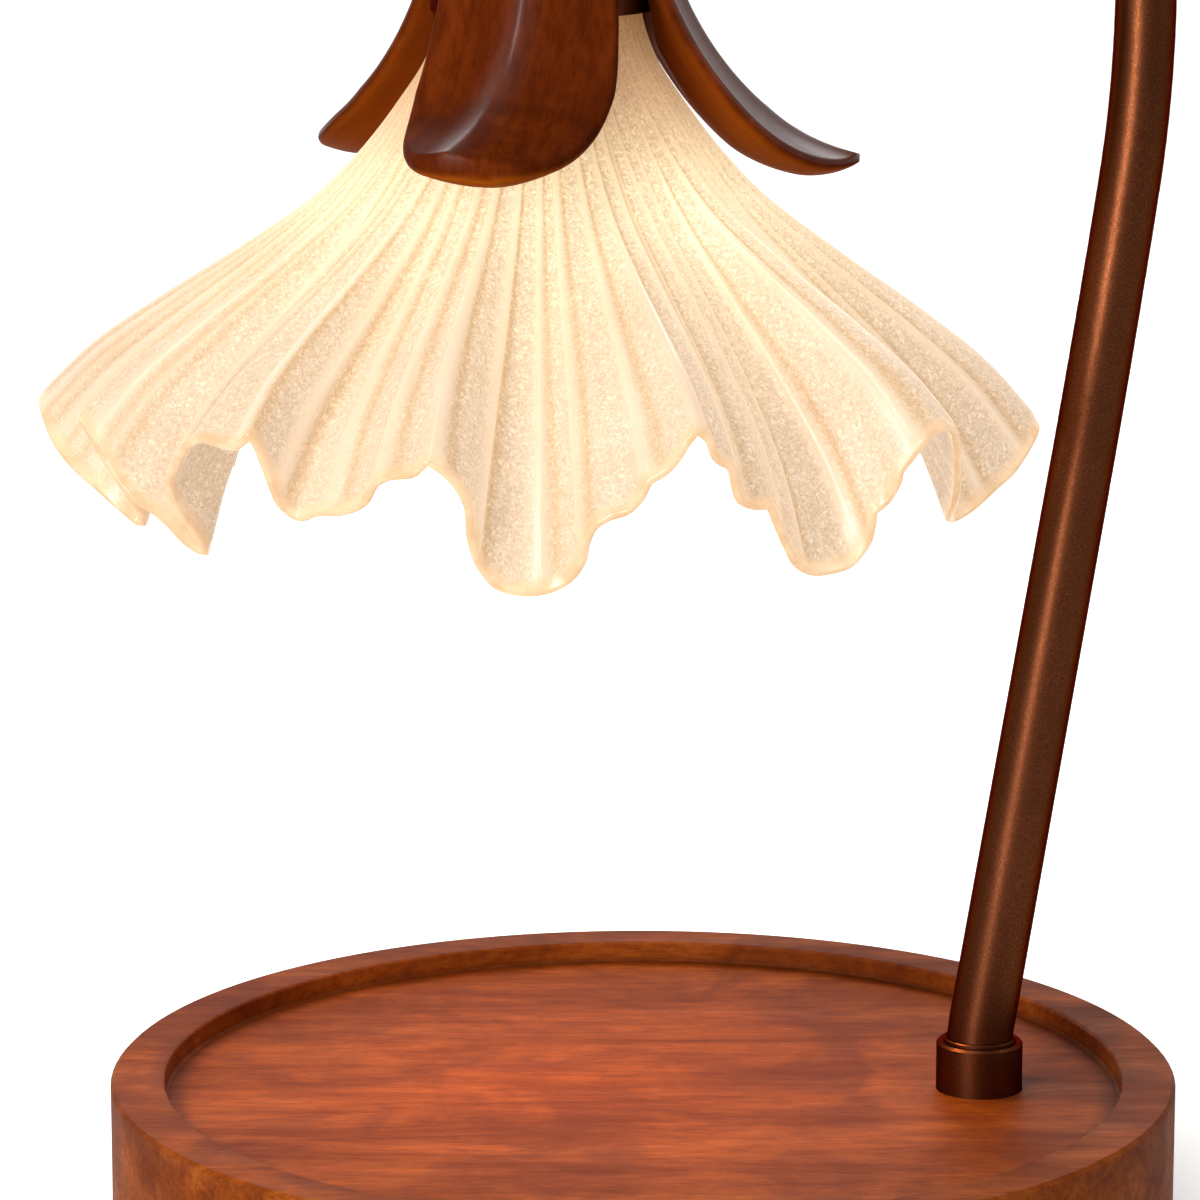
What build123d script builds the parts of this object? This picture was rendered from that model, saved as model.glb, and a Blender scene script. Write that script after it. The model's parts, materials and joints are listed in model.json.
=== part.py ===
from build123d import *
import os
from math import cos, radians, sin

# Candle warmer lamp: a turned wooden tray, a curved tube stem that swivels in a collar,
# and a fluted glass flower shade held under three carved wooden sepals.
# Millimetres. Z = 0 is the underside of the foot pad and the Z axis is the axis of the tray.
# The shade hangs on the -X side of the stem. The dimmer knob is at -Y, the cord gland at +Y.

os.makedirs("parts", exist_ok=True)

# ---------------------------------------------------------------- driving dimensions

# Tray base, turned from one block of hardwood
BASE_RADIUS = 82.5
BASE_TOP = 28.0
PAD_THICK = 2.0
PAD_RADIUS = 66.0
TRAY_RADIUS = 74.2
TRAY_DEPTH = 3.3
TRAY_EASING = 0.5
BASE_CHAMFER = 0.6
TRAY_FLOOR = BASE_TOP - TRAY_DEPTH
TRAY_WOOD = 6.3
CAVITY_ROOF = TRAY_FLOOR - TRAY_WOOD
CAVITY_RADIUS = 66.0
COVER_THICK = 2.0
COVER_TOP = PAD_THICK + COVER_THICK
REBATE_RADIUS = 73.0
COVER_RADIUS = 72.6
COVER_SCREW_CIRCLE = 69.5
COVER_SCREW_RADIUS = 1.4
COVER_HEAD_RADIUS = 2.7
COVER_HEAD_DEPTH = 1.5
COVER_SCREW_LENGTH = 12.0
COVER_SCREW_COUNT = 4
SLOT_LENGTH = 2.2
SLOT_WIDTH = 0.6

# Ballast
WEIGHT_RADIUS = 42.0
WEIGHT_THICK = 8.0
WEIGHT_X = -12.0
WEIGHT_Y = 4.0
WEIGHT_SCREW_SPACING = 44.0
WEIGHT_SCREW_RADIUS = 1.95

# Stem: tapered tube, one vertical foot, a long lean and a crook over to the shade
STEM_X = 52.4
FOOT_RADIUS = 5.15
HEAD_RADIUS = 4.0
STEM_WALL = 1.2
STEM_BOTTOM = 26.4
FOOT_TOP = 31.0
LEAN_ANGLE = 9.0
LEAN_BEND_RADIUS = 30.0
LEAN_LENGTH = 85.4
SLOW_BEND = 1.1
SLOW_BEND_RADIUS = 2400.0
QUICK_BEND = 7.9
QUICK_BEND_RADIUS = 208.0
SHOULDER_BEND = 30.0
SHOULDER_RADIUS = 125.0
CROOK_BEND = 150.0

# Collar and swivel
COLLAR_RADIUS = 6.7
COLLAR_TOP = 33.0
COLLAR_SEAT = 2.0
SWIVEL_GAP = 0.08
FOOT_NIPPLE_RADIUS = 4.0
HEAD_NIPPLE_RADIUS = 5.0
NIPPLE_BORE = 2.0
FOOT_NIPPLE_BOTTOM = 11.5
STOP_WASHER_RADIUS = 11.5
STOP_WASHER_ANGLE = 165.0
STOP_PIN_RADIUS = 0.9
STOP_PIN_CIRCLE = 9.6
STOP_PIN_DEPTH = 3.5
WASHER_RADIUS = 7.6
FRICTION_WASHER_RADIUS = 8.2
NUT_HALF_WIDTH = 6.5

# Head stack, from the top of the hub down to the lamp
SHADE_X = -15.5
STEM_END = 216.5
HUB_RADIUS = 12.2
HUB_BOTTOM = 207.4
HUB_TOP = 229.0
HUB_CAP_TOP = 236.0
GLASS_TOP = 205.0
GLASS_TOP_THICK = 3.0
GLASS_HOLE = 5.6
GLASS_WALL = 2.6
GASKET_THICK = 1.2
PLATE_THICK = 1.2
HEAD_NIPPLE_BOTTOM = 193.5
HOLDER_TOP = 193.0
HOLDER_BOTTOM = 179.5
HOLDER_RADIUS = 11.4
HOLDER_FLAT = 8.2
PIN_SPACING = 10.0
LAMP_FACE = 137.0
LAMP_RADIUS = 25.0

# Sepals: three carved slats that hug the hub and flare out at the tip. Each runs straight
# down the hub, then along two arcs that follow one another (radius, angle from the vertical
# where it ends). Fullness is the share of its width that a tip keeps halfway along its rounding
SEPAL_TOP = 227.0
SEPAL_EDGE_THICK = 1.9
SEPAL_RIDGE = 3.0
SEPAL_BELLY = 3.2
SEPALS = {
    "sepal_front": {
        "azimuth": -98.0, "inner_x": 12.0, "arc_top": 213.0,
        "upper_arc": (40.0, 43.0), "lower_arc": (39.0, 90.0),
        "half_width": 14.7, "hub_half_width": 10.5, "tip_length": 26.0, "fullness": 0.88,
    },
    "sepal_right": {
        "azimuth": 8.5, "inner_x": 13.5, "arc_top": 214.5,
        "upper_arc": (54.0, 45.5), "lower_arc": (22.0, 98.0),
        "half_width": 13.6, "hub_half_width": 8.5, "tip_length": 18.0, "fullness": 0.72,
    },
    "sepal_left": {
        "azimuth": 126.0, "inner_x": 11.5, "arc_top": 212.0,
        "upper_arc": (43.5, 39.0), "lower_arc": (42.5, 90.0),
        "half_width": 14.4, "hub_half_width": 8.5, "tip_length": 21.0, "fullness": 0.80,
    },
}

# Dimmer
KNOB_Z = 13.8
KNOB_RADIUS = 8.0
KNOB_BACK = 82.7
KNOB_FRONT = 95.0
SHAFT_RADIUS = 3.0
SHAFT_GAP = 0.06
BOARD_Z = 8.0
BOARD_THICK = 1.6
BOARD_TOP = BOARD_Z + BOARD_THICK
BOARD_Y = -52.0
BOARD_WIDTH = 34.0
BOARD_DEPTH = 20.0

# Cord entry and terminals
GLAND_Z = 11.0
GLAND_BORE = 3.3
GLAND_BODY = 5.0
GLAND_FLANGE = 7.5
GLAND_INNER_END = 60.0
SPOTFACE_Y = 81.3
LEAD_RADIUS = 1.6
CORE_RADIUS = 0.8

# Shade: the meridian profile of the glass (radius, height), from the neck to a mean rim
NECK_PROFILE = [(10.5, 205.0), (12.3, 203.2), (13.6, 199.0), (14.6, 195.0)]
BELL_PROFILE = [
    (14.8, 192.0),
    (16.5, 186.0),
    (21.5, 177.5),
    (31.5, 164.5),
    (43.5, 153.8),
    (54.5, 144.3),
    (63.5, 135.0),
    (70.0, 125.0),
]
FOLD_GROWTH = 2.2
RIM_SAMPLES = 96

# Crests and hanging tips of the ruffled rim's front half: (azimuth, radius, height). The back
# half is its mirror image
FRONT_FOLDS = [
    (-173.0, 76.6, 132.0),
    (-161.0, 64.5, 118.5),
    (-152.0, 73.5, 134.0),
    (-143.0, 62.0, 116.5),
    (-130.0, 75.0, 136.5),
    (-118.0, 67.5, 125.5),
    (-102.0, 73.0, 135.0),
    (-91.0, 65.0, 115.5),
    (-72.0, 75.5, 139.0),
    (-52.0, 66.0, 116.0),
    (-37.0, 75.5, 136.0),
    (-20.0, 65.0, 118.0),
    (-6.0, 75.5, 128.0),
]
RIM_FOLDS = FRONT_FOLDS + [(-azimuth, radius, height) for azimuth, radius, height in FRONT_FOLDS[::-1]]


def save(builder, name):
    """Label a finished sub-part and write it as its own STEP file."""
    builder.part.label = name
    export_step(builder.part, f"parts/{name}.step")


# ---------------------------------------------------------------- base

with BuildPart() as base_body:
    with BuildSketch(Plane.XY.offset(PAD_THICK)):
        Circle(BASE_RADIUS)
    extrude(amount=BASE_TOP - PAD_THICK)
    chamfer(base_body.edges().filter_by(GeomType.CIRCLE), length=BASE_CHAMFER)
    # tray recess
    with BuildSketch(Plane.XY.offset(BASE_TOP)):
        Circle(TRAY_RADIUS)
    extrude(amount=-TRAY_DEPTH, mode=Mode.SUBTRACT)
    # cavity for the ballast and the dimmer, with a rebate for the cover
    with BuildSketch(Plane.XY.offset(PAD_THICK)):
        Circle(CAVITY_RADIUS)
    extrude(amount=CAVITY_ROOF - PAD_THICK, mode=Mode.SUBTRACT)
    with BuildSketch(Plane.XY.offset(PAD_THICK)):
        Circle(REBATE_RADIUS)
    extrude(amount=COVER_THICK, mode=Mode.SUBTRACT)
    # stepped hole for the collar and the swivel bush
    with BuildSketch(Plane.XY.offset(CAVITY_ROOF)):
        with Locations((STEM_X, 0)):
            Circle(COLLAR_RADIUS - 0.4)
    extrude(amount=TRAY_WOOD, mode=Mode.SUBTRACT)
    with BuildSketch(Plane.XY.offset(TRAY_FLOOR)):
        with Locations((STEM_X, 0)):
            Circle(COLLAR_RADIUS + 0.05)
    extrude(amount=-COLLAR_SEAT, mode=Mode.SUBTRACT)
    # stop pin hole in the roof of the cavity
    with BuildSketch(Plane.XY.offset(CAVITY_ROOF)):
        with Locations((STEM_X - STOP_PIN_CIRCLE, 0)):
            Circle(STOP_PIN_RADIUS)
    extrude(amount=STOP_PIN_DEPTH, mode=Mode.SUBTRACT)
    # pilot holes for the cover screws
    with BuildSketch(Plane.XY.offset(COVER_TOP)):
        with PolarLocations(COVER_SCREW_CIRCLE, COVER_SCREW_COUNT, start_angle=45):
            Circle(COVER_SCREW_RADIUS)
    extrude(amount=COVER_SCREW_LENGTH - COVER_THICK, mode=Mode.SUBTRACT)
    # knob: spotface on the front wall and a hole for the shaft
    with BuildSketch(Plane.XZ.offset(SPOTFACE_Y)):
        with Locations((0, KNOB_Z)):
            Circle(KNOB_RADIUS + 1.6)
    extrude(amount=4, mode=Mode.SUBTRACT)
    with BuildSketch(Plane.XZ.offset(CAVITY_RADIUS - 2)):
        with Locations((0, KNOB_Z)):
            Circle(SHAFT_RADIUS + 0.6)
    extrude(amount=SPOTFACE_Y - CAVITY_RADIUS + 3, mode=Mode.SUBTRACT)
    # cord gland: spotface on the back wall and a hole through it
    with BuildSketch(Plane.XZ.offset(-SPOTFACE_Y)):
        with Locations((0, GLAND_Z)):
            Circle(GLAND_FLANGE + 0.4)
    extrude(amount=-4, mode=Mode.SUBTRACT)
    with BuildSketch(Plane.XZ.offset(-CAVITY_RADIUS + 2)):
        with Locations((0, GLAND_Z)):
            Circle(GLAND_BODY)
    extrude(amount=CAVITY_RADIUS - BASE_RADIUS - 1, mode=Mode.SUBTRACT)
    # eased lip and corner of the tray
    tray_edges = base_body.edges().filter_by(GeomType.CIRCLE).filter_by(
        lambda edge: abs(edge.radius - TRAY_RADIUS) < 0.01
    )
    fillet(tray_edges, radius=TRAY_EASING)
save(base_body, "base_body")

with BuildPart() as bottom_cover:
    with BuildSketch(Plane.XY.offset(PAD_THICK)):
        Circle(COVER_RADIUS)
        with PolarLocations(COVER_SCREW_CIRCLE, COVER_SCREW_COUNT, start_angle=45):
            Circle(COVER_SCREW_RADIUS + 0.2, mode=Mode.SUBTRACT)
        with Locations((WEIGHT_X, WEIGHT_Y)):
            with GridLocations(WEIGHT_SCREW_SPACING, 0, 2, 1):
                Circle(WEIGHT_SCREW_RADIUS + 0.25, mode=Mode.SUBTRACT)
    extrude(amount=COVER_THICK)
save(bottom_cover, "bottom_cover")

with BuildPart() as cover_screws:
    with BuildSketch(Plane.XY.offset(PAD_THICK)):
        with PolarLocations(COVER_SCREW_CIRCLE, COVER_SCREW_COUNT, start_angle=45):
            Circle(COVER_SCREW_RADIUS)
    extrude(amount=COVER_SCREW_LENGTH)
    with BuildSketch(Plane.XY.offset(PAD_THICK)):
        with PolarLocations(COVER_SCREW_CIRCLE, COVER_SCREW_COUNT, start_angle=45):
            Circle(COVER_HEAD_RADIUS)
    extrude(amount=-COVER_HEAD_DEPTH, taper=20)
    with BuildSketch(Plane.XY.offset(PAD_THICK - COVER_HEAD_DEPTH)):
        with PolarLocations(COVER_SCREW_CIRCLE, COVER_SCREW_COUNT, start_angle=45):
            Rectangle(SLOT_LENGTH, SLOT_WIDTH)
            Rectangle(SLOT_WIDTH, SLOT_LENGTH)
    extrude(amount=0.8, mode=Mode.SUBTRACT)
save(cover_screws, "cover_screws")

with BuildPart() as foot_pad:
    with BuildSketch():
        Circle(PAD_RADIUS)
    extrude(amount=PAD_THICK)
    fillet(foot_pad.edges().group_by(Axis.Z)[0], radius=0.5)
save(foot_pad, "foot_pad")

with BuildPart() as weight_plate:
    with BuildSketch(Plane.XY.offset(COVER_TOP)):
        with Locations((WEIGHT_X, WEIGHT_Y)):
            Circle(WEIGHT_RADIUS)
            with GridLocations(WEIGHT_SCREW_SPACING, 0, 2, 1):
                Circle(WEIGHT_SCREW_RADIUS + 0.05, mode=Mode.SUBTRACT)
    extrude(amount=WEIGHT_THICK)
save(weight_plate, "weight_plate")

with BuildPart() as weight_screws:
    with BuildSketch(Plane.XY.offset(PAD_THICK)):
        with Locations((WEIGHT_X, WEIGHT_Y)):
            with GridLocations(WEIGHT_SCREW_SPACING, 0, 2, 1):
                Circle(WEIGHT_SCREW_RADIUS)
    extrude(amount=COVER_THICK + WEIGHT_THICK - 1)
save(weight_screws, "weight_screws")

# ---------------------------------------------------------------- dimmer

STANDOFF_SPACING_X = BOARD_WIDTH - 5
STANDOFF_SPACING_Y = BOARD_DEPTH - 5
BOARD_SCREW_RADIUS = 0.95
BOARD_HEAD_RADIUS = 1.9
BOARD_HEAD_THICK = 1.2
STANDOFF_RADIUS = 2.2

with BuildPart() as board_standoffs:
    with BuildSketch(Plane.XY.offset(COVER_TOP)):
        with Locations((0, BOARD_Y)):
            with GridLocations(STANDOFF_SPACING_X, STANDOFF_SPACING_Y, 2, 2):
                Circle(STANDOFF_RADIUS)
                Circle(BOARD_SCREW_RADIUS + 0.05, mode=Mode.SUBTRACT)
    extrude(amount=BOARD_Z - COVER_TOP)
save(board_standoffs, "board_standoffs")

with BuildPart() as dimmer_board:
    with BuildSketch(Plane.XY.offset(BOARD_Z)):
        with Locations((0, BOARD_Y)):
            RectangleRounded(BOARD_WIDTH, BOARD_DEPTH, 1.5)
            with GridLocations(STANDOFF_SPACING_X, STANDOFF_SPACING_Y, 2, 2):
                Circle(BOARD_SCREW_RADIUS + 0.25, mode=Mode.SUBTRACT)
    extrude(amount=BOARD_THICK)
save(dimmer_board, "dimmer_board")

with BuildPart() as board_screws:
    with BuildSketch(Plane.XY.offset(COVER_TOP + 0.4)):
        with Locations((0, BOARD_Y)):
            with GridLocations(STANDOFF_SPACING_X, STANDOFF_SPACING_Y, 2, 2):
                Circle(BOARD_SCREW_RADIUS)
    extrude(amount=BOARD_TOP - COVER_TOP)
    with BuildSketch(Plane.XY.offset(BOARD_TOP)):
        with Locations((0, BOARD_Y)):
            with GridLocations(STANDOFF_SPACING_X, STANDOFF_SPACING_Y, 2, 2):
                Circle(BOARD_HEAD_RADIUS)
    extrude(amount=BOARD_HEAD_THICK)
save(board_screws, "board_screws")

POT_FRONT = 56.0
POT_BACK = 46.0
POT_HALF = KNOB_Z - BOARD_TOP
BUSHING_FRONT = 62.0
BUSHING_RADIUS = 3.8
POT_WIDTH = 9.6

with BuildPart() as dimmer_pot:
    with BuildSketch(Plane.XZ.offset(POT_BACK)):
        with Locations((0, KNOB_Z)):
            RectangleRounded(POT_WIDTH, 2 * POT_HALF, 0.6)
    extrude(amount=POT_FRONT - POT_BACK)
    with BuildSketch(Plane.XZ.offset(POT_FRONT)):
        with Locations((0, KNOB_Z)):
            Circle(BUSHING_RADIUS)
    extrude(amount=BUSHING_FRONT - POT_FRONT)
    with BuildSketch(Plane.XZ.offset(POT_BACK + 2)):
        with Locations((0, KNOB_Z)):
            Circle(SHAFT_RADIUS + SHAFT_GAP)
    extrude(amount=BUSHING_FRONT - POT_BACK, mode=Mode.SUBTRACT)
save(dimmer_pot, "dimmer_pot")

CHOKE_RING = 3.5
CHOKE_RADIUS = 1.8

with BuildPart() as dimmer_choke:
    with Locations((-10.6, BOARD_Y + 1, BOARD_TOP + CHOKE_RADIUS)):
        Torus(CHOKE_RING, CHOKE_RADIUS)
save(dimmer_choke, "dimmer_choke")

CAPACITOR_SIZE = (7.0, 4.6, 7.8)
TRIAC_SIZE = (9.6, 8.6, 4.2)

with BuildPart() as dimmer_capacitor:
    with BuildSketch(Plane.XY.offset(BOARD_TOP)):
        with Locations((8.8, BOARD_Y + 6.2)):
            RectangleRounded(CAPACITOR_SIZE[0], CAPACITOR_SIZE[1], 1)
    extrude(amount=CAPACITOR_SIZE[2])
save(dimmer_capacitor, "dimmer_capacitor")

with BuildPart() as dimmer_triac:
    with BuildSketch(Plane.XY.offset(BOARD_TOP)):
        with Locations((10.5, BOARD_Y - 0.9)):
            Rectangle(TRIAC_SIZE[0], TRIAC_SIZE[1])
    extrude(amount=TRIAC_SIZE[2])
save(dimmer_triac, "dimmer_triac")

ESCUTCHEON_THICK = 1.0

with BuildPart() as knob_escutcheon:
    with BuildSketch(Plane.XZ.offset(SPOTFACE_Y)):
        with Locations((0, KNOB_Z)):
            Circle(KNOB_RADIUS + 1.2)
            Circle(SHAFT_RADIUS + 0.4, mode=Mode.SUBTRACT)
    extrude(amount=ESCUTCHEON_THICK)
save(knob_escutcheon, "knob_escutcheon")

SHAFT_BACK = POT_BACK + 2.5
SHAFT_FRONT = KNOB_FRONT - 4
SET_SCREW_Y = -88.0
SET_SCREW_RADIUS = 1.2
SET_SCREW_LENGTH = 3.2
FLUTE_COUNT = 24
FLUTE_RADIUS = 0.75
POINTER_LENGTH = 3.0
POINTER_WIDTH = 0.9

with BuildPart() as dimmer_shaft:
    with BuildSketch(Plane.XZ.offset(SHAFT_BACK)):
        with Locations((0, KNOB_Z)):
            Circle(SHAFT_RADIUS)
    extrude(amount=SHAFT_FRONT - SHAFT_BACK)
save(dimmer_shaft, "dimmer_shaft")

with BuildPart() as dimmer_knob:
    with BuildSketch(Plane.XZ.offset(KNOB_BACK)):
        with Locations((0, KNOB_Z)):
            Circle(KNOB_RADIUS)
    extrude(amount=KNOB_FRONT - KNOB_BACK)
    fillet(dimmer_knob.edges().group_by(Axis.Y)[0], radius=1.2)
    chamfer(dimmer_knob.edges().group_by(Axis.Y)[-1], length=0.4)
    # grip flutes
    with BuildSketch(Plane.XZ.offset(KNOB_BACK + 2)):
        with Locations((0, KNOB_Z)):
            with PolarLocations(KNOB_RADIUS + 0.35, FLUTE_COUNT, start_angle=180 / FLUTE_COUNT):
                Circle(FLUTE_RADIUS)
    extrude(amount=KNOB_FRONT, mode=Mode.SUBTRACT)
    # pointer line on the face
    with BuildSketch(Plane.XZ.offset(KNOB_FRONT - 0.5)):
        with Locations((0, KNOB_Z + 0.55 * KNOB_RADIUS)):
            SlotCenterToCenter(POINTER_LENGTH, POINTER_WIDTH, rotation=90)
    extrude(amount=2, mode=Mode.SUBTRACT)
    # shaft bore and set screw hole
    with BuildSketch(Plane.XZ.offset(KNOB_BACK)):
        with Locations((0, KNOB_Z)):
            Circle(SHAFT_RADIUS)
    extrude(amount=SHAFT_FRONT - KNOB_BACK, mode=Mode.SUBTRACT)
    with BuildSketch(Plane.XY.offset(KNOB_Z - SHAFT_RADIUS - 0.5)):
        with Locations((0, SET_SCREW_Y)):
            Circle(SET_SCREW_RADIUS + 0.05)
    extrude(amount=-KNOB_RADIUS, mode=Mode.SUBTRACT)
save(dimmer_knob, "dimmer_knob")

with BuildPart() as knob_set_screw:
    with BuildSketch(Plane.XY.offset(KNOB_Z - SHAFT_RADIUS - 0.5)):
        with Locations((0, SET_SCREW_Y)):
            Circle(SET_SCREW_RADIUS)
    extrude(amount=-SET_SCREW_LENGTH)
save(knob_set_screw, "knob_set_screw")

# ---------------------------------------------------------------- cord entry and terminals

GLAND_FACE = SPOTFACE_Y + 2.0
GLAND_NUT_FACE = 65.4
GLAND_NUT_HALF = 6.0
GLAND_NUT_THICK = 3.0

with BuildPart() as cord_gland:
    with BuildSketch(Plane.XZ.offset(-SPOTFACE_Y)):
        with Locations((0, GLAND_Z)):
            Circle(GLAND_FLANGE)
    extrude(amount=SPOTFACE_Y - GLAND_FACE)
    fillet(cord_gland.edges().group_by(Axis.Y)[-1], radius=0.8)
    with BuildSketch(Plane.XZ.offset(-GLAND_INNER_END)):
        with Locations((0, GLAND_Z)):
            Circle(GLAND_BODY - 0.1)
    extrude(amount=GLAND_INNER_END - SPOTFACE_Y)
    with BuildSketch(Plane.XZ.offset(-GLAND_INNER_END)):
        with Locations((0, GLAND_Z)):
            Circle(GLAND_BORE)
    extrude(amount=GLAND_INNER_END - GLAND_FACE, mode=Mode.SUBTRACT)
save(cord_gland, "cord_gland")

with BuildPart() as gland_nut:
    with BuildSketch(Plane.XZ.offset(-GLAND_NUT_FACE)):
        with Locations((0, GLAND_Z)):
            RegularPolygon(GLAND_NUT_HALF, 6, major_radius=False)
            Circle(GLAND_BODY - 0.1, mode=Mode.SUBTRACT)
    extrude(amount=GLAND_NUT_THICK)
save(gland_nut, "gland_nut")

CLAMP_Y = 54.0
CLAMP_DEPTH = 6.0
CLAMP_WIDTH = 24.0
CLAMP_TOP = 17.5
CLAMP_SCREW_SPACING = 17.0
CLAMP_SCREW_RADIUS = 1.25
STRAP_TOP = 16.2
CLAMP_HEAD_RADIUS = 2.2

with BuildPart() as clamp_base:
    with BuildSketch(Plane.XY.offset(COVER_TOP)):
        with Locations((0, CLAMP_Y)):
            Rectangle(CLAMP_WIDTH, CLAMP_DEPTH)
            with GridLocations(CLAMP_SCREW_SPACING, 0, 2, 1):
                Circle(CLAMP_SCREW_RADIUS + 0.05, mode=Mode.SUBTRACT)
    extrude(amount=GLAND_Z - COVER_TOP)
    with BuildSketch(Plane.XZ.offset(-CLAMP_Y + CLAMP_DEPTH)):
        with Locations((0, GLAND_Z)):
            Circle(GLAND_BORE + 0.2)
    extrude(amount=-2 * CLAMP_DEPTH, mode=Mode.SUBTRACT)
save(clamp_base, "clamp_base")

with BuildPart() as clamp_strap:
    with BuildSketch(Plane.XY.offset(GLAND_Z)):
        with Locations((0, CLAMP_Y)):
            Rectangle(CLAMP_WIDTH, CLAMP_DEPTH)
            with GridLocations(CLAMP_SCREW_SPACING, 0, 2, 1):
                Circle(CLAMP_SCREW_RADIUS + 0.05, mode=Mode.SUBTRACT)
    extrude(amount=STRAP_TOP - GLAND_Z)
    with BuildSketch(Plane.XZ.offset(-CLAMP_Y + CLAMP_DEPTH)):
        with Locations((0, GLAND_Z)):
            Circle(GLAND_BORE + 0.2)
    extrude(amount=-2 * CLAMP_DEPTH, mode=Mode.SUBTRACT)
save(clamp_strap, "clamp_strap")

with BuildPart() as clamp_screws:
    with BuildSketch(Plane.XY.offset(COVER_TOP + 1)):
        with Locations((0, CLAMP_Y)):
            with GridLocations(CLAMP_SCREW_SPACING, 0, 2, 1):
                Circle(CLAMP_SCREW_RADIUS)
    extrude(amount=STRAP_TOP - COVER_TOP - 1)
    with BuildSketch(Plane.XY.offset(STRAP_TOP)):
        with Locations((0, CLAMP_Y)):
            with GridLocations(CLAMP_SCREW_SPACING, 0, 2, 1):
                Circle(CLAMP_HEAD_RADIUS)
    extrude(amount=CLAMP_TOP - STRAP_TOP)
save(clamp_screws, "clamp_screws")

TERMINAL_X = 28.0
TERMINAL_Y = 46.0
TERMINAL_Z = 8.5
TERMINAL_SIZE = (20.0, 10.0, 10.0)
PORT_SPACING = 5.0
PORT_RADIUS = 1.2
WELL_RADIUS = 1.5

with BuildPart() as terminal_block:
    with BuildSketch(Plane.XY.offset(COVER_TOP)):
        with Locations((TERMINAL_X, TERMINAL_Y)):
            RectangleRounded(TERMINAL_SIZE[0], TERMINAL_SIZE[1], 1)
    extrude(amount=TERMINAL_SIZE[2])
    # wire ports along X and screw wells from above
    with BuildSketch(Plane.YZ.offset(TERMINAL_X + 6)):
        with Locations((TERMINAL_Y, TERMINAL_Z)):
            with GridLocations(PORT_SPACING, 0, 2, 1):
                Circle(PORT_RADIUS)
    extrude(amount=8, mode=Mode.SUBTRACT)
    with BuildSketch(Plane.XY.offset(COVER_TOP + TERMINAL_SIZE[2])):
        with Locations((TERMINAL_X, TERMINAL_Y)):
            with GridLocations(2 * PORT_SPACING, PORT_SPACING, 2, 2):
                Circle(WELL_RADIUS)
    extrude(amount=-2, mode=Mode.SUBTRACT)
save(terminal_block, "terminal_block")

# ---------------------------------------------------------------- stem and its swivel

with BuildLine(Plane.XZ) as stem_line:
    foot_run = Line((STEM_X, STEM_BOTTOM), (STEM_X, FOOT_TOP))
    lean_bend = JernArc(foot_run @ 1, foot_run % 1, LEAN_BEND_RADIUS, -LEAN_ANGLE)
    lean_run = PolarLine(
        lean_bend @ 1, LEAN_LENGTH, direction=(sin(radians(LEAN_ANGLE)), cos(radians(LEAN_ANGLE)))
    )
    slow_bend = JernArc(lean_run @ 1, lean_run % 1, SLOW_BEND_RADIUS, SLOW_BEND)
    quick_bend = JernArc(slow_bend @ 1, slow_bend % 1, QUICK_BEND_RADIUS, QUICK_BEND)
    shoulder = JernArc(quick_bend @ 1, quick_bend % 1, SHOULDER_RADIUS, SHOULDER_BEND)
    crook_radius = ((shoulder @ 1).X - SHADE_X) / (1 + cos(radians(SHOULDER_BEND)))
    crook = JernArc(shoulder @ 1, shoulder % 1, crook_radius, CROOK_BEND)
    drop_run = Line(crook @ 1, (SHADE_X, STEM_END))
stem_path = stem_line.line

with BuildPart() as stem:
    foot_plane = Plane(stem_path @ 0, z_dir=stem_path % 0)
    head_plane = Plane(stem_path @ 1, z_dir=stem_path % 1)
    with BuildSketch(foot_plane) as foot_outside:
        Circle(FOOT_RADIUS)
    with BuildSketch(head_plane) as head_outside:
        Circle(HEAD_RADIUS)
    sweep([foot_outside.sketch, head_outside.sketch], path=stem_path, multisection=True)
    with BuildSketch(foot_plane) as foot_inside:
        Circle(FOOT_RADIUS - STEM_WALL)
    with BuildSketch(head_plane) as head_inside:
        Circle(HEAD_RADIUS - STEM_WALL)
    sweep(
        [foot_inside.sketch, head_inside.sketch],
        path=stem_path,
        multisection=True,
        mode=Mode.SUBTRACT,
    )
save(stem, "stem")

with BuildPart() as stem_collar:
    with BuildSketch(Plane.XZ):
        with BuildLine():
            Polyline(
                (STEM_X + FOOT_NIPPLE_RADIUS + SWIVEL_GAP, TRAY_FLOOR - COLLAR_SEAT),
                (STEM_X + COLLAR_RADIUS, TRAY_FLOOR - COLLAR_SEAT),
                (STEM_X + COLLAR_RADIUS, COLLAR_TOP - 1.0),
                (STEM_X + COLLAR_RADIUS - 0.35, COLLAR_TOP - 0.6),
                (STEM_X + COLLAR_RADIUS - 1.0, COLLAR_TOP - 0.6),
                (STEM_X + COLLAR_RADIUS - 1.0, COLLAR_TOP - 0.15),
                (STEM_X + COLLAR_RADIUS - 1.15, COLLAR_TOP),
                (STEM_X + FOOT_RADIUS + SWIVEL_GAP, COLLAR_TOP),
                (STEM_X + FOOT_RADIUS + SWIVEL_GAP, STEM_BOTTOM - 0.1),
                (STEM_X + FOOT_NIPPLE_RADIUS + SWIVEL_GAP, STEM_BOTTOM - 0.1),
                close=True,
            )
        make_face()
    revolve(axis=Axis((STEM_X, 0, 0), (0, 0, 1)))
save(stem_collar, "stem_collar")

BUSH_RADIUS = COLLAR_RADIUS - 0.4
BUSH_BORE = FOOT_NIPPLE_RADIUS + SWIVEL_GAP

with BuildPart() as swivel_bush:
    with BuildSketch(Plane.XY.offset(CAVITY_ROOF)):
        with Locations((STEM_X, 0)):
            Circle(BUSH_RADIUS)
            Circle(BUSH_BORE, mode=Mode.SUBTRACT)
    extrude(amount=TRAY_FLOOR - COLLAR_SEAT - CAVITY_ROOF)
save(swivel_bush, "swivel_bush")

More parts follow.
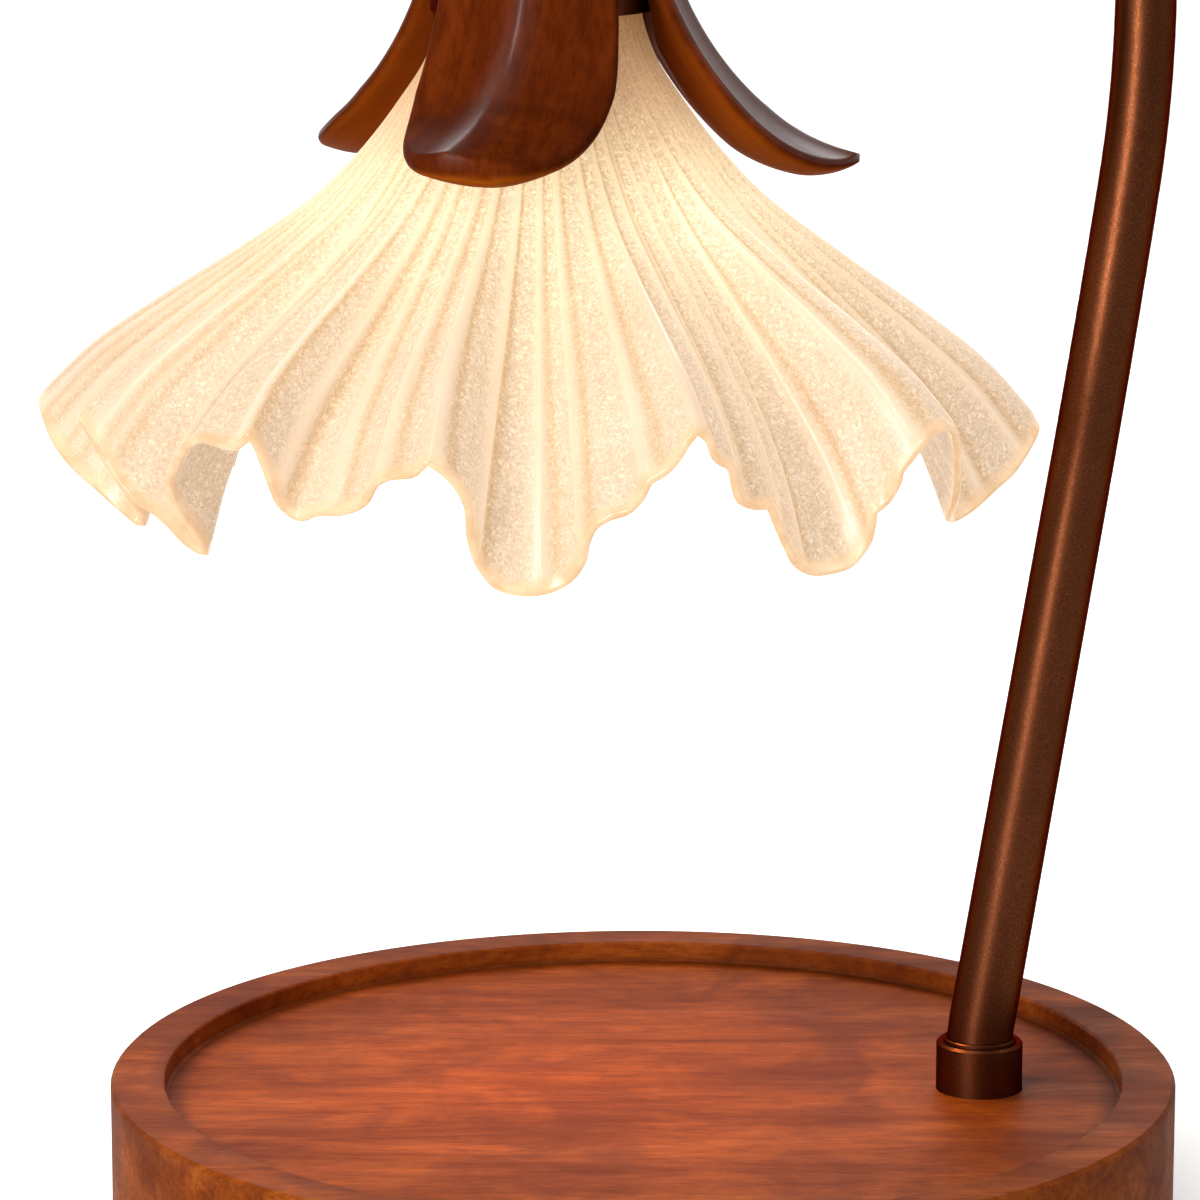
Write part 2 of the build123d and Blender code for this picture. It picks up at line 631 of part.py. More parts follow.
WASHER_THICK = 1.0
WAVE_WASHER_THICK = 0.7
FOOT_NUT_THICK = 3.4
FRICTION_WASHER_BOTTOM = CAVITY_ROOF - WASHER_THICK
WAVE_WASHER_TOP = FRICTION_WASHER_BOTTOM - 0.1
WAVE_WASHER_BOTTOM = WAVE_WASHER_TOP - WAVE_WASHER_THICK
STOP_WASHER_BOTTOM = WAVE_WASHER_BOTTOM - WASHER_THICK
FOOT_NUT_BOTTOM = STOP_WASHER_BOTTOM - FOOT_NUT_THICK

with BuildPart() as friction_washer:
    with BuildSketch(Plane.XY.offset(CAVITY_ROOF)):
        with Locations((STEM_X, 0)):
            Circle(FRICTION_WASHER_RADIUS)
            Circle(BUSH_BORE, mode=Mode.SUBTRACT)
    extrude(amount=-WASHER_THICK)
save(friction_washer, "friction_washer")

with BuildPart() as stop_pin:
    with BuildSketch(Plane.XY.offset(CAVITY_ROOF + STOP_PIN_DEPTH)):
        with Locations((STEM_X - STOP_PIN_CIRCLE, 0)):
            Circle(STOP_PIN_RADIUS)
    extrude(amount=STOP_WASHER_BOTTOM - 0.6 - CAVITY_ROOF - STOP_PIN_DEPTH)
save(stop_pin, "stop_pin")

with BuildPart() as foot_nipple:
    with BuildSketch(Plane.XY.offset(FOOT_NIPPLE_BOTTOM)):
        with Locations((STEM_X, 0)):
            Circle(FOOT_NIPPLE_RADIUS)
    extrude(amount=STEM_BOTTOM - FOOT_NIPPLE_BOTTOM)
    with BuildSketch(Plane.XY.offset(STEM_BOTTOM)):
        with Locations((STEM_X, 0)):
            Circle(FOOT_RADIUS - STEM_WALL - 0.05)
    extrude(amount=FOOT_TOP - STEM_BOTTOM)
    with BuildSketch(Plane.XY.offset(FOOT_NIPPLE_BOTTOM)):
        with Locations((STEM_X, 0)):
            Circle(NIPPLE_BORE)
    extrude(amount=FOOT_TOP - FOOT_NIPPLE_BOTTOM, mode=Mode.SUBTRACT)
save(foot_nipple, "foot_nipple")

with BuildPart() as wave_washer:
    with BuildSketch(Plane.XY.offset(WAVE_WASHER_BOTTOM)):
        with Locations((STEM_X, 0)):
            Circle(WASHER_RADIUS)
            Circle(FOOT_NIPPLE_RADIUS, mode=Mode.SUBTRACT)
    extrude(amount=WAVE_WASHER_TOP - WAVE_WASHER_BOTTOM)
save(wave_washer, "wave_washer")

# Half-moon ear: it meets the stop pin after a quarter turn either way
with BuildPart() as stop_washer:
    with BuildSketch(Plane.XY.offset(STOP_WASHER_BOTTOM)):
        with BuildLine():
            ear = CenterArc(
                (STEM_X, 0), STOP_WASHER_RADIUS, -STOP_WASHER_ANGLE / 2, STOP_WASHER_ANGLE
            )
            Line((STEM_X, 0), ear @ 0)
            Line((STEM_X, 0), ear @ 1)
        make_face()
        with Locations((STEM_X, 0)):
            Circle(WASHER_RADIUS)
            Circle(FOOT_NIPPLE_RADIUS, mode=Mode.SUBTRACT)
    extrude(amount=WAVE_WASHER_BOTTOM - STOP_WASHER_BOTTOM)
save(stop_washer, "stop_washer")

with BuildPart() as foot_nut:
    with BuildSketch(Plane.XY.offset(FOOT_NUT_BOTTOM)):
        with Locations((STEM_X, 0)):
            RegularPolygon(NUT_HALF_WIDTH, 6, major_radius=False)
            Circle(FOOT_NIPPLE_RADIUS, mode=Mode.SUBTRACT)
    extrude(amount=STOP_WASHER_BOTTOM - FOOT_NUT_BOTTOM)
save(foot_nut, "foot_nut")

# Two-core lead, threaded through the stem from the base to the lamp holder
with BuildLine(Plane.XZ) as lead_line:
    Line((STEM_X, FOOT_NIPPLE_BOTTOM + 0.5), (STEM_X, STEM_BOTTOM))
    add(stem_line.line.edges())
    Line((SHADE_X, STEM_END), (SHADE_X, HEAD_NIPPLE_BOTTOM + 0.2))
with BuildPart() as stem_lead:
    lead_path = lead_line.wire()
    with BuildSketch(Plane((STEM_X, 0, FOOT_NIPPLE_BOTTOM + 0.5))):
        Circle(LEAD_RADIUS)
    sweep(path=lead_path)
save(stem_lead, "stem_lead")

# Its two cores run over the cover to the terminal block
with BuildPart() as base_leads:
    for side in (-1, 1):
        port_y = TERMINAL_Y + 2.5 * side
        bend_x = STEM_X + 1.0 * side
        with BuildLine() as core_line:
            core_path = FilletPolyline(
                (TERMINAL_X + 7, port_y, TERMINAL_Z),
                (TERMINAL_X + 14, port_y, TERMINAL_Z - 0.5),
                (bend_x, 30 + 2 * side, 6.0),
                (bend_x, 0, 5.4),
                (bend_x, 0, FOOT_NIPPLE_BOTTOM + 0.2),
                radius=4.5,
            )
        with BuildSketch(Plane(core_path @ 0, z_dir=core_path % 0)):
            Circle(CORE_RADIUS)
        sweep(path=core_path)
save(base_leads, "base_leads")

# ---------------------------------------------------------------- hub and sepals

NIPPLE_FLANGE_BOTTOM = 214.0
SPIGOT_LENGTH = 12.0
HUB_POCKET = 8.2
HUB_BORE = HEAD_NIPPLE_RADIUS + 0.1
DOWEL_Z = 219.0
DOWEL_RADIUS = 1.5

with BuildPart() as hub_core:
    with BuildSketch(Plane.XY.offset(HUB_BOTTOM)):
        with Locations((SHADE_X, 0)):
            Circle(HUB_RADIUS)
            Circle(HUB_BORE, mode=Mode.SUBTRACT)
    extrude(amount=HUB_TOP - HUB_BOTTOM)
    with BuildSketch(Plane.XY.offset(NIPPLE_FLANGE_BOTTOM)):
        with Locations((SHADE_X, 0)):
            Circle(HUB_POCKET)
    extrude(amount=HUB_TOP - NIPPLE_FLANGE_BOTTOM, mode=Mode.SUBTRACT)
    for sepal_shape in SEPALS.values():
        outward = Vector(1, 0, 0).rotate(Axis.Z, sepal_shape["azimuth"])
        seat = Vector(SHADE_X, 0, DOWEL_Z) + outward * HUB_POCKET
        with BuildSketch(Plane(seat, z_dir=outward)):
            Circle(DOWEL_RADIUS)
        extrude(amount=HUB_RADIUS, mode=Mode.SUBTRACT)
save(hub_core, "hub_core")

with BuildPart() as sepal_dowels:
    for sepal_shape in SEPALS.values():
        outward = Vector(1, 0, 0).rotate(Axis.Z, sepal_shape["azimuth"])
        seat = Vector(SHADE_X, 0, DOWEL_Z) + outward * (HUB_POCKET + 0.3)
        with BuildSketch(Plane(seat, z_dir=outward)):
            Circle(DOWEL_RADIUS - 0.05)
        extrude(amount=7.0)
save(sepal_dowels, "sepal_dowels")

with BuildPart() as hub_cap:
    with BuildSketch(Plane.XZ):
        with BuildLine():
            skirt = Polyline(
                (SHADE_X + HEAD_RADIUS + 0.15, HUB_TOP + 2.0),
                (SHADE_X + HUB_RADIUS + 0.4, HUB_TOP + 2.0),
                (SHADE_X + HUB_RADIUS + 0.4, HUB_TOP),
                (SHADE_X + HUB_RADIUS + 2.6, HUB_TOP),
            )
            dome = ThreePointArc(
                skirt @ 1,
                (SHADE_X + HUB_RADIUS - 0.4, HUB_TOP + 4.6),
                (SHADE_X + HEAD_RADIUS + 1.6, HUB_CAP_TOP),
            )
            Polyline(dome @ 1, (SHADE_X + HEAD_RADIUS + 0.15, HUB_CAP_TOP), skirt @ 0)
        make_face()
    revolve(axis=Axis((SHADE_X, 0, 0), (0, 0, 1)))
save(hub_cap, "hub_cap")

with BuildPart() as head_nipple:
    with BuildSketch(Plane.XY.offset(HEAD_NIPPLE_BOTTOM)):
        with Locations((SHADE_X, 0)):
            Circle(HEAD_NIPPLE_RADIUS)
    extrude(amount=NIPPLE_FLANGE_BOTTOM - HEAD_NIPPLE_BOTTOM)
    with BuildSketch(Plane.XY.offset(NIPPLE_FLANGE_BOTTOM)):
        with Locations((SHADE_X, 0)):
            Circle(HUB_POCKET - 0.3)
    extrude(amount=STEM_END - NIPPLE_FLANGE_BOTTOM)
    with BuildSketch(Plane.XY.offset(STEM_END)):
        with Locations((SHADE_X, 0)):
            Circle(HEAD_RADIUS - STEM_WALL - 0.08)
    extrude(amount=SPIGOT_LENGTH)
    with BuildSketch(Plane.XY.offset(HEAD_NIPPLE_BOTTOM)):
        with Locations((SHADE_X, 0)):
            Circle(NIPPLE_BORE)
    extrude(amount=STEM_END + SPIGOT_LENGTH - HEAD_NIPPLE_BOTTOM, mode=Mode.SUBTRACT)
save(head_nipple, "head_nipple")

# what the sepals' inner faces keep clear of: the hub, the cup's skirt and the glass
SEPAL_SEAT = [
    (0, 160.0),
    (37.0, 160.0),
    (32.6, 164.5),
    (22.6, 177.5),
    (17.7, 186.0),
    (17.2, 188.0),
    (17.0, 196.0),
    (16.0, 200.6),
    (14.6, 205.2),
    (12.9, HUB_BOTTOM + 0.2),
    (HUB_RADIUS, HUB_BOTTOM + 0.2),
    (HUB_RADIUS, SEPAL_TOP + 1),
    (0, SEPAL_TOP + 1),
]
DOWEL_HOLE_DEPTH = 3.5


def sepal_section(line, share, half_width, swell):
    """Seven-sided section of a sepal across its line; swell scales its ridge and belly."""
    edge = SEPAL_EDGE_THICK / 2
    ridge = SEPAL_RIDGE * swell
    belly = SEPAL_BELLY * swell
    place = Plane(line @ share, x_dir=(0, 1, 0), z_dir=line % share)
    with BuildSketch(place) as section:
        Polygon(
            (-half_width, -edge),
            (-half_width, edge),
            (0, edge + ridge),
            (half_width, edge),
            (half_width, -edge),
            (0.5 * half_width, -edge - 0.75 * belly),
            (-0.5 * half_width, -edge - 0.75 * belly),
            align=None,
        )
    return section.sketch


def carved_sepal(shape):
    """A sepal at azimuth 0 about the Z axis, with its seat and its dowel hole."""
    upper_radius, upper_angle = shape["upper_arc"]
    lower_radius, end_angle = shape["lower_arc"]
    half_width = shape["half_width"]
    with BuildPart() as carved:
        with BuildLine(Plane.XZ) as middle:
            neck = Line((shape["inner_x"], SEPAL_TOP), (shape["inner_x"], shape["arc_top"]))
            upper = JernArc(neck @ 1, neck % 1, upper_radius, upper_angle)
            lower = JernArc(upper @ 1, upper % 1, lower_radius, end_angle - upper_angle)
        path = middle.wires()[0]
        tip_x = (lower @ 1).X
        sections = [
            sepal_section(path, share, half_width + 1, swell)
            for share, swell in ((0, 1.0), (0.7, 1.0), (1, 0.3))
        ]
        sweep(sections=sections, path=path, multisection=True)
        # plan outline: narrow at the hub, broad and rounded at the tip
        with BuildSketch():
            with BuildLine():
                side = Spline(
                    (0, shape["hub_half_width"]),
                    (17.0, shape["hub_half_width"] + 0.6),
                    (tip_x - shape["tip_length"], half_width),
                    (tip_x - 0.45 * shape["tip_length"], shape["fullness"] * half_width),
                    (tip_x - 0.14 * shape["tip_length"], 0.60 * shape["fullness"] * half_width),
                    (tip_x, 0),
                    tangents=((1, 0), (0, -1)),
                )
                Line((0, 0), side @ 0)
                mirror(about=Plane.XZ)
            make_face()
        extrude(amount=SEPAL_TOP + 1, mode=Mode.INTERSECT)
        with BuildSketch(Plane.XZ):
            Polygon(*SEPAL_SEAT, align=None)
        revolve(axis=Axis.Z, mode=Mode.SUBTRACT)
        with BuildSketch(Plane((HUB_RADIUS - 1, 0, DOWEL_Z), z_dir=(1, 0, 0))):
            Circle(DOWEL_RADIUS)
        extrude(amount=1 + DOWEL_HOLE_DEPTH, mode=Mode.SUBTRACT)
    return carved.part


for sepal_name, sepal_shape in SEPALS.items():
    blank = carved_sepal(sepal_shape)
    with BuildPart() as sepal:
        with Locations(Location((SHADE_X, 0, 0), (0, 0, sepal_shape["azimuth"]))):
            add(blank)
    save(sepal, sepal_name)

# ---------------------------------------------------------------- shade and its fixing

CUP_INSIDE = [(15.4, 192.0), (15.2, 195.5), (14.3, 199.5), (13.0, 203.8), (11.2, 206.2)]
CUP_OUTSIDE = [(16.5, 192.0), (16.3, 196.0), (15.4, 200.4), (14.0, 205.0), (12.0, HUB_BOTTOM)]

with BuildPart() as shade_cup:
    with BuildSketch(Plane.XZ):
        with BuildLine():
            inside = Spline(*[(SHADE_X + r, z) for r, z in CUP_INSIDE])
            outside = Spline(*[(SHADE_X + r, z) for r, z in CUP_OUTSIDE])
            Line(inside @ 0, outside @ 0)
            Polyline(
                outside @ 1, (SHADE_X + HUB_BORE, HUB_BOTTOM), (SHADE_X + HUB_BORE, 206.2), inside @ 1
            )
        make_face()
    revolve(axis=Axis((SHADE_X, 0, 0), (0, 0, 1)))
save(shade_cup, "shade_cup")

GLASS_UNDER_TOP = GLASS_TOP - GLASS_TOP_THICK
UPPER_GASKET_RADIUS = 9.8
LOWER_GASKET_RADIUS = 9.0

with BuildPart() as upper_gasket:
    with BuildSketch(Plane.XY.offset(GLASS_TOP)):
        with Locations((SHADE_X, 0)):
            Circle(UPPER_GASKET_RADIUS)
            Circle(HUB_BORE + 0.1, mode=Mode.SUBTRACT)
    extrude(amount=GASKET_THICK)
save(upper_gasket, "upper_gasket")

with BuildPart() as lower_gasket:
    with BuildSketch(Plane.XY.offset(GLASS_UNDER_TOP)):
        with Locations((SHADE_X, 0)):
            Circle(LOWER_GASKET_RADIUS)
            Circle(HUB_BORE + 0.1, mode=Mode.SUBTRACT)
    extrude(amount=-GASKET_THICK)
save(lower_gasket, "lower_gasket")


def rim_at(azimuth):
    """Radius and height of the ruffled rim, easing from each crest to the next tip."""
    for start, end in zip(RIM_FOLDS, RIM_FOLDS[1:] + RIM_FOLDS[:1]):
        span = (end[0] - start[0]) % 360
        travel = ((azimuth - start[0]) % 360) / span
        if travel < 1:
            ease = travel * travel * (3 - 2 * travel)
            return start[1] + (end[1] - start[1]) * ease, start[2] + (end[2] - start[2]) * ease


def glass_ring(radius, height, fold):
    """Points round the glass at one level; fold is 0 at the neck and 1 at the rim."""
    mean_radius, mean_height = BELL_PROFILE[-1]
    points = []
    for step in range(RIM_SAMPLES):
        azimuth = 360 * step / RIM_SAMPLES
        rim_radius, rim_height = rim_at(azimuth)
        r = radius + (rim_radius - mean_radius) * fold
        z = height + (rim_height - mean_height) * fold
        points.append(Vector(SHADE_X + r * cos(radians(azimuth)), r * sin(radians(azimuth)), z))
    return points


def inset_ring(rings, level):
    """Points one wall thickness inside the outer surface, along its own normal."""
    above = rings[level - 1]
    below = rings[min(level + 1, len(rings) - 1)]
    inset = []
    for step, point in enumerate(rings[level]):
        around = rings[level][(step + 1) % RIM_SAMPLES] - rings[level][step - 1]
        inward = around.cross(below[step] - above[step]).normalized()
        inset.append(point + inward * GLASS_WALL)
    return inset


def ring_wire(points):
    return Wire([Edge.make_spline(points, periodic=True)])


bell_lengths = [0.0]
for upper, lower in zip(BELL_PROFILE, BELL_PROFILE[1:]):
    bell_lengths.append(bell_lengths[-1] + (Vector(*upper) - Vector(*lower)).length)
outer_rings = [glass_ring(r, z, 0) for r, z in NECK_PROFILE]
for (r, z), length in zip(BELL_PROFILE, bell_lengths):
    outer_rings.append(glass_ring(r, z, (length / bell_lengths[-1]) ** FOLD_GROWTH))
inner_rings = [glass_ring(10.0, GLASS_UNDER_TOP, 0)]
inner_rings += [inset_ring(outer_rings, level) for level in range(2, len(outer_rings))]

outer_wires = [ring_wire(points) for points in outer_rings]
inner_wires = [ring_wire(points) for points in inner_rings]
hole_top = ring_wire(glass_ring(GLASS_HOLE, GLASS_TOP, 0))
hole_bottom = ring_wire(glass_ring(GLASS_HOLE, GLASS_UNDER_TOP, 0))
glass_faces = Shell.make_loft(outer_wires).faces() + Shell.make_loft(inner_wires).faces()
for wire_pair in (
    (outer_wires[-1], inner_wires[-1]),
    (outer_wires[0], hole_top),
    (hole_top, hole_bottom),
    (hole_bottom, inner_wires[0]),
):
    glass_faces += Shell.make_loft(wire_pair, ruled=True).faces()

with BuildPart() as shade:
    add(Solid(Shell(glass_faces)))
save(shade, "shade")

# ---------------------------------------------------------------- lamp holder and lamp

BRACKET_TOP = GLASS_UNDER_TOP - GASKET_THICK
BRACKET_BOTTOM = BRACKET_TOP - PLATE_THICK
LEG_BOTTOM = 183.0
HEAD_NUT_THICK = 4.0
HOLDER_SCREW_Z = 186.0
HOLDER_SCREW_RADIUS = 1.1
HOLDER_SCREW_HEAD = 2.0
BRACKET_RADIUS = 9.3
LEG_THICK = 0.9
LEG_WIDTH = 6.0
PIN_SLOT_RADIUS = 2.8
PIN_SLOT_DEPTH = 9.0

with BuildPart() as holder_bracket:
    with BuildSketch(Plane.XY.offset(BRACKET_BOTTOM)):
        with Locations((SHADE_X, 0)):
            Circle(BRACKET_RADIUS)
            Circle(HUB_BORE, mode=Mode.SUBTRACT)
    extrude(amount=PLATE_THICK)
    with BuildSketch(Plane.XY.offset(LEG_BOTTOM)):
        with Locations((SHADE_X, 0)):
            with GridLocations(2 * HOLDER_FLAT + 1.0, 0, 2, 1):
                Rectangle(LEG_THICK, LEG_WIDTH)
    extrude(amount=BRACKET_TOP - LEG_BOTTOM)
    with BuildSketch(Plane.YZ.offset(SHADE_X)):
        with Locations((0, HOLDER_SCREW_Z)):
            Circle(1.3)
    extrude(amount=20, both=True, mode=Mode.SUBTRACT)
save(holder_bracket, "holder_bracket")

with BuildPart() as head_nut:
    with BuildSketch(Plane.XY.offset(BRACKET_BOTTOM)):
        with Locations((SHADE_X, 0)):
            RegularPolygon(NUT_HALF_WIDTH, 6, major_radius=False)
            Circle(HEAD_NIPPLE_RADIUS, mode=Mode.SUBTRACT)
    extrude(amount=-HEAD_NUT_THICK)
save(head_nut, "head_nut")

with BuildPart() as lamp_holder:
    with BuildSketch(Plane.XY.offset(HOLDER_BOTTOM)):
        with Locations((SHADE_X, 0)):
            Circle(HOLDER_RADIUS)
            Rectangle(2 * HOLDER_FLAT, 2 * HOLDER_RADIUS, mode=Mode.INTERSECT)
    extrude(amount=HOLDER_TOP - HOLDER_BOTTOM)
    # keyhole sockets for the two lamp pins
    with BuildSketch(Plane.XY.offset(HOLDER_BOTTOM)):
        with Locations((SHADE_X, 0)):
            with GridLocations(0, PIN_SPACING, 1, 2):
                Circle(PIN_SLOT_RADIUS)
    extrude(amount=PIN_SLOT_DEPTH, mode=Mode.SUBTRACT)
    # pilot holes for the two bracket screws
    with BuildSketch(Plane.YZ.offset(SHADE_X + HOLDER_FLAT - 3.5)):
        with Locations((0, HOLDER_SCREW_Z)):
            Circle(HOLDER_SCREW_RADIUS + 0.05)
    extrude(amount=5, mode=Mode.SUBTRACT)
    with BuildSketch(Plane.YZ.offset(SHADE_X - HOLDER_FLAT + 3.5)):
        with Locations((0, HOLDER_SCREW_Z)):
            Circle(HOLDER_SCREW_RADIUS + 0.05)
    extrude(amount=-5, mode=Mode.SUBTRACT)
save(lamp_holder, "lamp_holder")

with BuildPart() as holder_screws:
    for side in (-1, 1):
        screw_seat = Plane((SHADE_X + side * (HOLDER_FLAT + 1.0), 0, HOLDER_SCREW_Z), z_dir=(side, 0, 0))
        with BuildSketch(screw_seat):
            Circle(HOLDER_SCREW_HEAD)
        extrude(amount=0.9)
        with BuildSketch(screw_seat):
            Circle(HOLDER_SCREW_RADIUS)
        extrude(amount=-4.2)
save(holder_screws, "holder_screws")

with BuildPart() as holder_contacts:
    with BuildSketch(Plane.XY.offset(HOLDER_BOTTOM + 8.2)):
        with Locations((SHADE_X, 0)):
            with GridLocations(0, PIN_SPACING, 1, 2):
                Rectangle(3.6, 2.4)
    extrude(amount=0.7)
save(holder_contacts, "holder_contacts")

LAMP_BASE_TOP = HOLDER_BOTTOM - 0.1
LAMP_BASE_BOTTOM = 169.0
LAMP_RIM_TOP = 143.0
LENS_THICK = 2.0
LAMP_BASE_SIZE = (14.0, 21.0)
PIN_RADIUS = 1.5
PIN_HEAD_RADIUS = 2.4
PIN_HEAD_THICK = 2.2
PIN_LENGTH = 7.6
CAPSULE_RADIUS = 4.5
CAPSULE_LENGTH = 14.0

with BuildPart() as lamp_base:
    with BuildSketch(Plane.XY.offset(LAMP_BASE_BOTTOM)):
        with Locations((SHADE_X, 0)):
            RectangleRounded(*LAMP_BASE_SIZE, 5)
    extrude(amount=LAMP_BASE_TOP - LAMP_BASE_BOTTOM)
save(lamp_base, "lamp_base")

with BuildPart() as lamp_pins:
    with BuildSketch(Plane.XY.offset(LAMP_BASE_TOP)):
        with Locations((SHADE_X, 0)):
            with GridLocations(0, PIN_SPACING, 1, 2):
                Circle(PIN_RADIUS)
    extrude(amount=PIN_LENGTH)
    with BuildSketch(Plane.XY.offset(LAMP_BASE_TOP + PIN_LENGTH)):
        with Locations((SHADE_X, 0)):
            with GridLocations(0, PIN_SPACING, 1, 2):
                Circle(PIN_HEAD_RADIUS)
    extrude(amount=-PIN_HEAD_THICK)
save(lamp_pins, "lamp_pins")

with BuildPart() as lamp_reflector:
    with BuildSketch(Plane.XZ):
        with BuildLine():
            bowl = Spline(
                (SHADE_X + 10.0, LAMP_BASE_BOTTOM),
                (SHADE_X + 17.0, 158.0),
                (SHADE_X + 23.0, 147.5),
                (SHADE_X + LAMP_RADIUS - 0.4, LAMP_RIM_TOP),
            )
            bowl_inside = Spline(
                (SHADE_X + 8.0, LAMP_BASE_BOTTOM - 2.0),
                (SHADE_X + 15.6, 157.4),
                (SHADE_X + 21.5, 147.2),
                (SHADE_X + LAMP_RADIUS - 1.6, LAMP_FACE + LENS_THICK),
            )
            Polyline(
                bowl @ 1,
                (SHADE_X + LAMP_RADIUS, LAMP_RIM_TOP),
                (SHADE_X + LAMP_RADIUS, LAMP_FACE + LENS_THICK),
                bowl_inside @ 1,
            )
            Polyline(
                bowl @ 0, (SHADE_X, LAMP_BASE_BOTTOM), (SHADE_X, LAMP_BASE_BOTTOM - 2.0), bowl_inside @ 0
            )
        make_face()
    revolve(axis=Axis((SHADE_X, 0, 0), (0, 0, 1)))
save(lamp_reflector, "lamp_reflector")

with BuildPart() as lamp_lens:
    with BuildSketch(Plane.XY.offset(LAMP_FACE)):
        with Locations((SHADE_X, 0)):
            Circle(LAMP_RADIUS)
    extrude(amount=LENS_THICK)
    fillet(lamp_lens.edges().group_by(Axis.Z)[0], radius=0.8)
save(lamp_lens, "lamp_lens")

with BuildPart() as lamp_capsule:
    with BuildSketch(Plane.XY.offset(LAMP_BASE_BOTTOM - 2.0)):
        with Locations((SHADE_X, 0)):
            Circle(CAPSULE_RADIUS)
    extrude(amount=-CAPSULE_LENGTH)
    fillet(lamp_capsule.edges().group_by(Axis.Z)[0], radius=3)
save(lamp_capsule, "lamp_capsule")
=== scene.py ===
import json
import math
import random

import bpy
import numpy as np
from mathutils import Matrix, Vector

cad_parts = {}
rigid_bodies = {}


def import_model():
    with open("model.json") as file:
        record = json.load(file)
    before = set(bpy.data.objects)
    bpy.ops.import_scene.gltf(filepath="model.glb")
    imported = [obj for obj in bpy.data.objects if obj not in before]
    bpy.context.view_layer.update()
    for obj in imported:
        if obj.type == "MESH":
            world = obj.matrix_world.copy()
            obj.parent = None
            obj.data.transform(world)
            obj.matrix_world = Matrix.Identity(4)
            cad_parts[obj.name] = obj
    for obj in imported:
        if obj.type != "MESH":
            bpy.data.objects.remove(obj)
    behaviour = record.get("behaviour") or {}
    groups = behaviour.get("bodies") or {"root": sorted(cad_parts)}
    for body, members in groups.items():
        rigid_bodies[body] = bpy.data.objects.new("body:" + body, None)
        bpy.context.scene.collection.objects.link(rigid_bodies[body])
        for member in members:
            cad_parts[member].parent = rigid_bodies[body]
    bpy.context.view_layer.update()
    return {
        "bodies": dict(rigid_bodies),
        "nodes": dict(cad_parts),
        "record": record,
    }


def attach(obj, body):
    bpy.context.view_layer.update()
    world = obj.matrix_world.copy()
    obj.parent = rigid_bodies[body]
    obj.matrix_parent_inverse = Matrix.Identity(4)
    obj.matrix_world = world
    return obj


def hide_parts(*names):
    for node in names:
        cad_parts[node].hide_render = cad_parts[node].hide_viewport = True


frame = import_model()

MM = 0.001
NODES = frame["nodes"]
SCENE = bpy.context.scene
SCENE.view_settings.view_transform = "Standard"

# The lamp's own places, in millimetres
SHADE_X = -15.5
LAMP_FACE = 137.0
LAMP_RADIUS = 25.0
TRAY_RADIUS = 74.2
TRAY_FLOOR = 24.7
# The painted shade in the tray's corner, and the painted highlight on the outer edge of its rim
CORNER_SHADE_WIDTH = 1.2
OUTER_EDGE_RADIUS = 81.2
OUTER_EDGE_LOW = 26.5

# ---------------------------------------------------------------- camera

# Fitted to the photo's ellipses: place in metres, pitch in radians, lens and sensor in millimetres
CAMERA_PLACE = (-0.00664, -0.7497, 0.25064)
CAMERA_PITCH = 0.19558
CAMERA_LENS = 150
CAMERA_SENSOR = 36


def add_object(name, data):
    """A new object in the scene."""
    thing = bpy.data.objects.new(name, data)
    SCENE.collection.objects.link(thing)
    return thing


def add_camera():
    """The photo's camera, level from side to side."""
    data = bpy.data.cameras.new("camera")
    data.lens = CAMERA_LENS
    data.sensor_width = CAMERA_SENSOR
    data.clip_start = 0.05
    data.clip_end = 30
    camera = add_object("camera", data)
    camera.location = CAMERA_PLACE
    camera.rotation_euler = (math.pi / 2 - CAMERA_PITCH, 0, 0)
    SCENE.camera = camera


# ---------------------------------------------------------------- material graphs


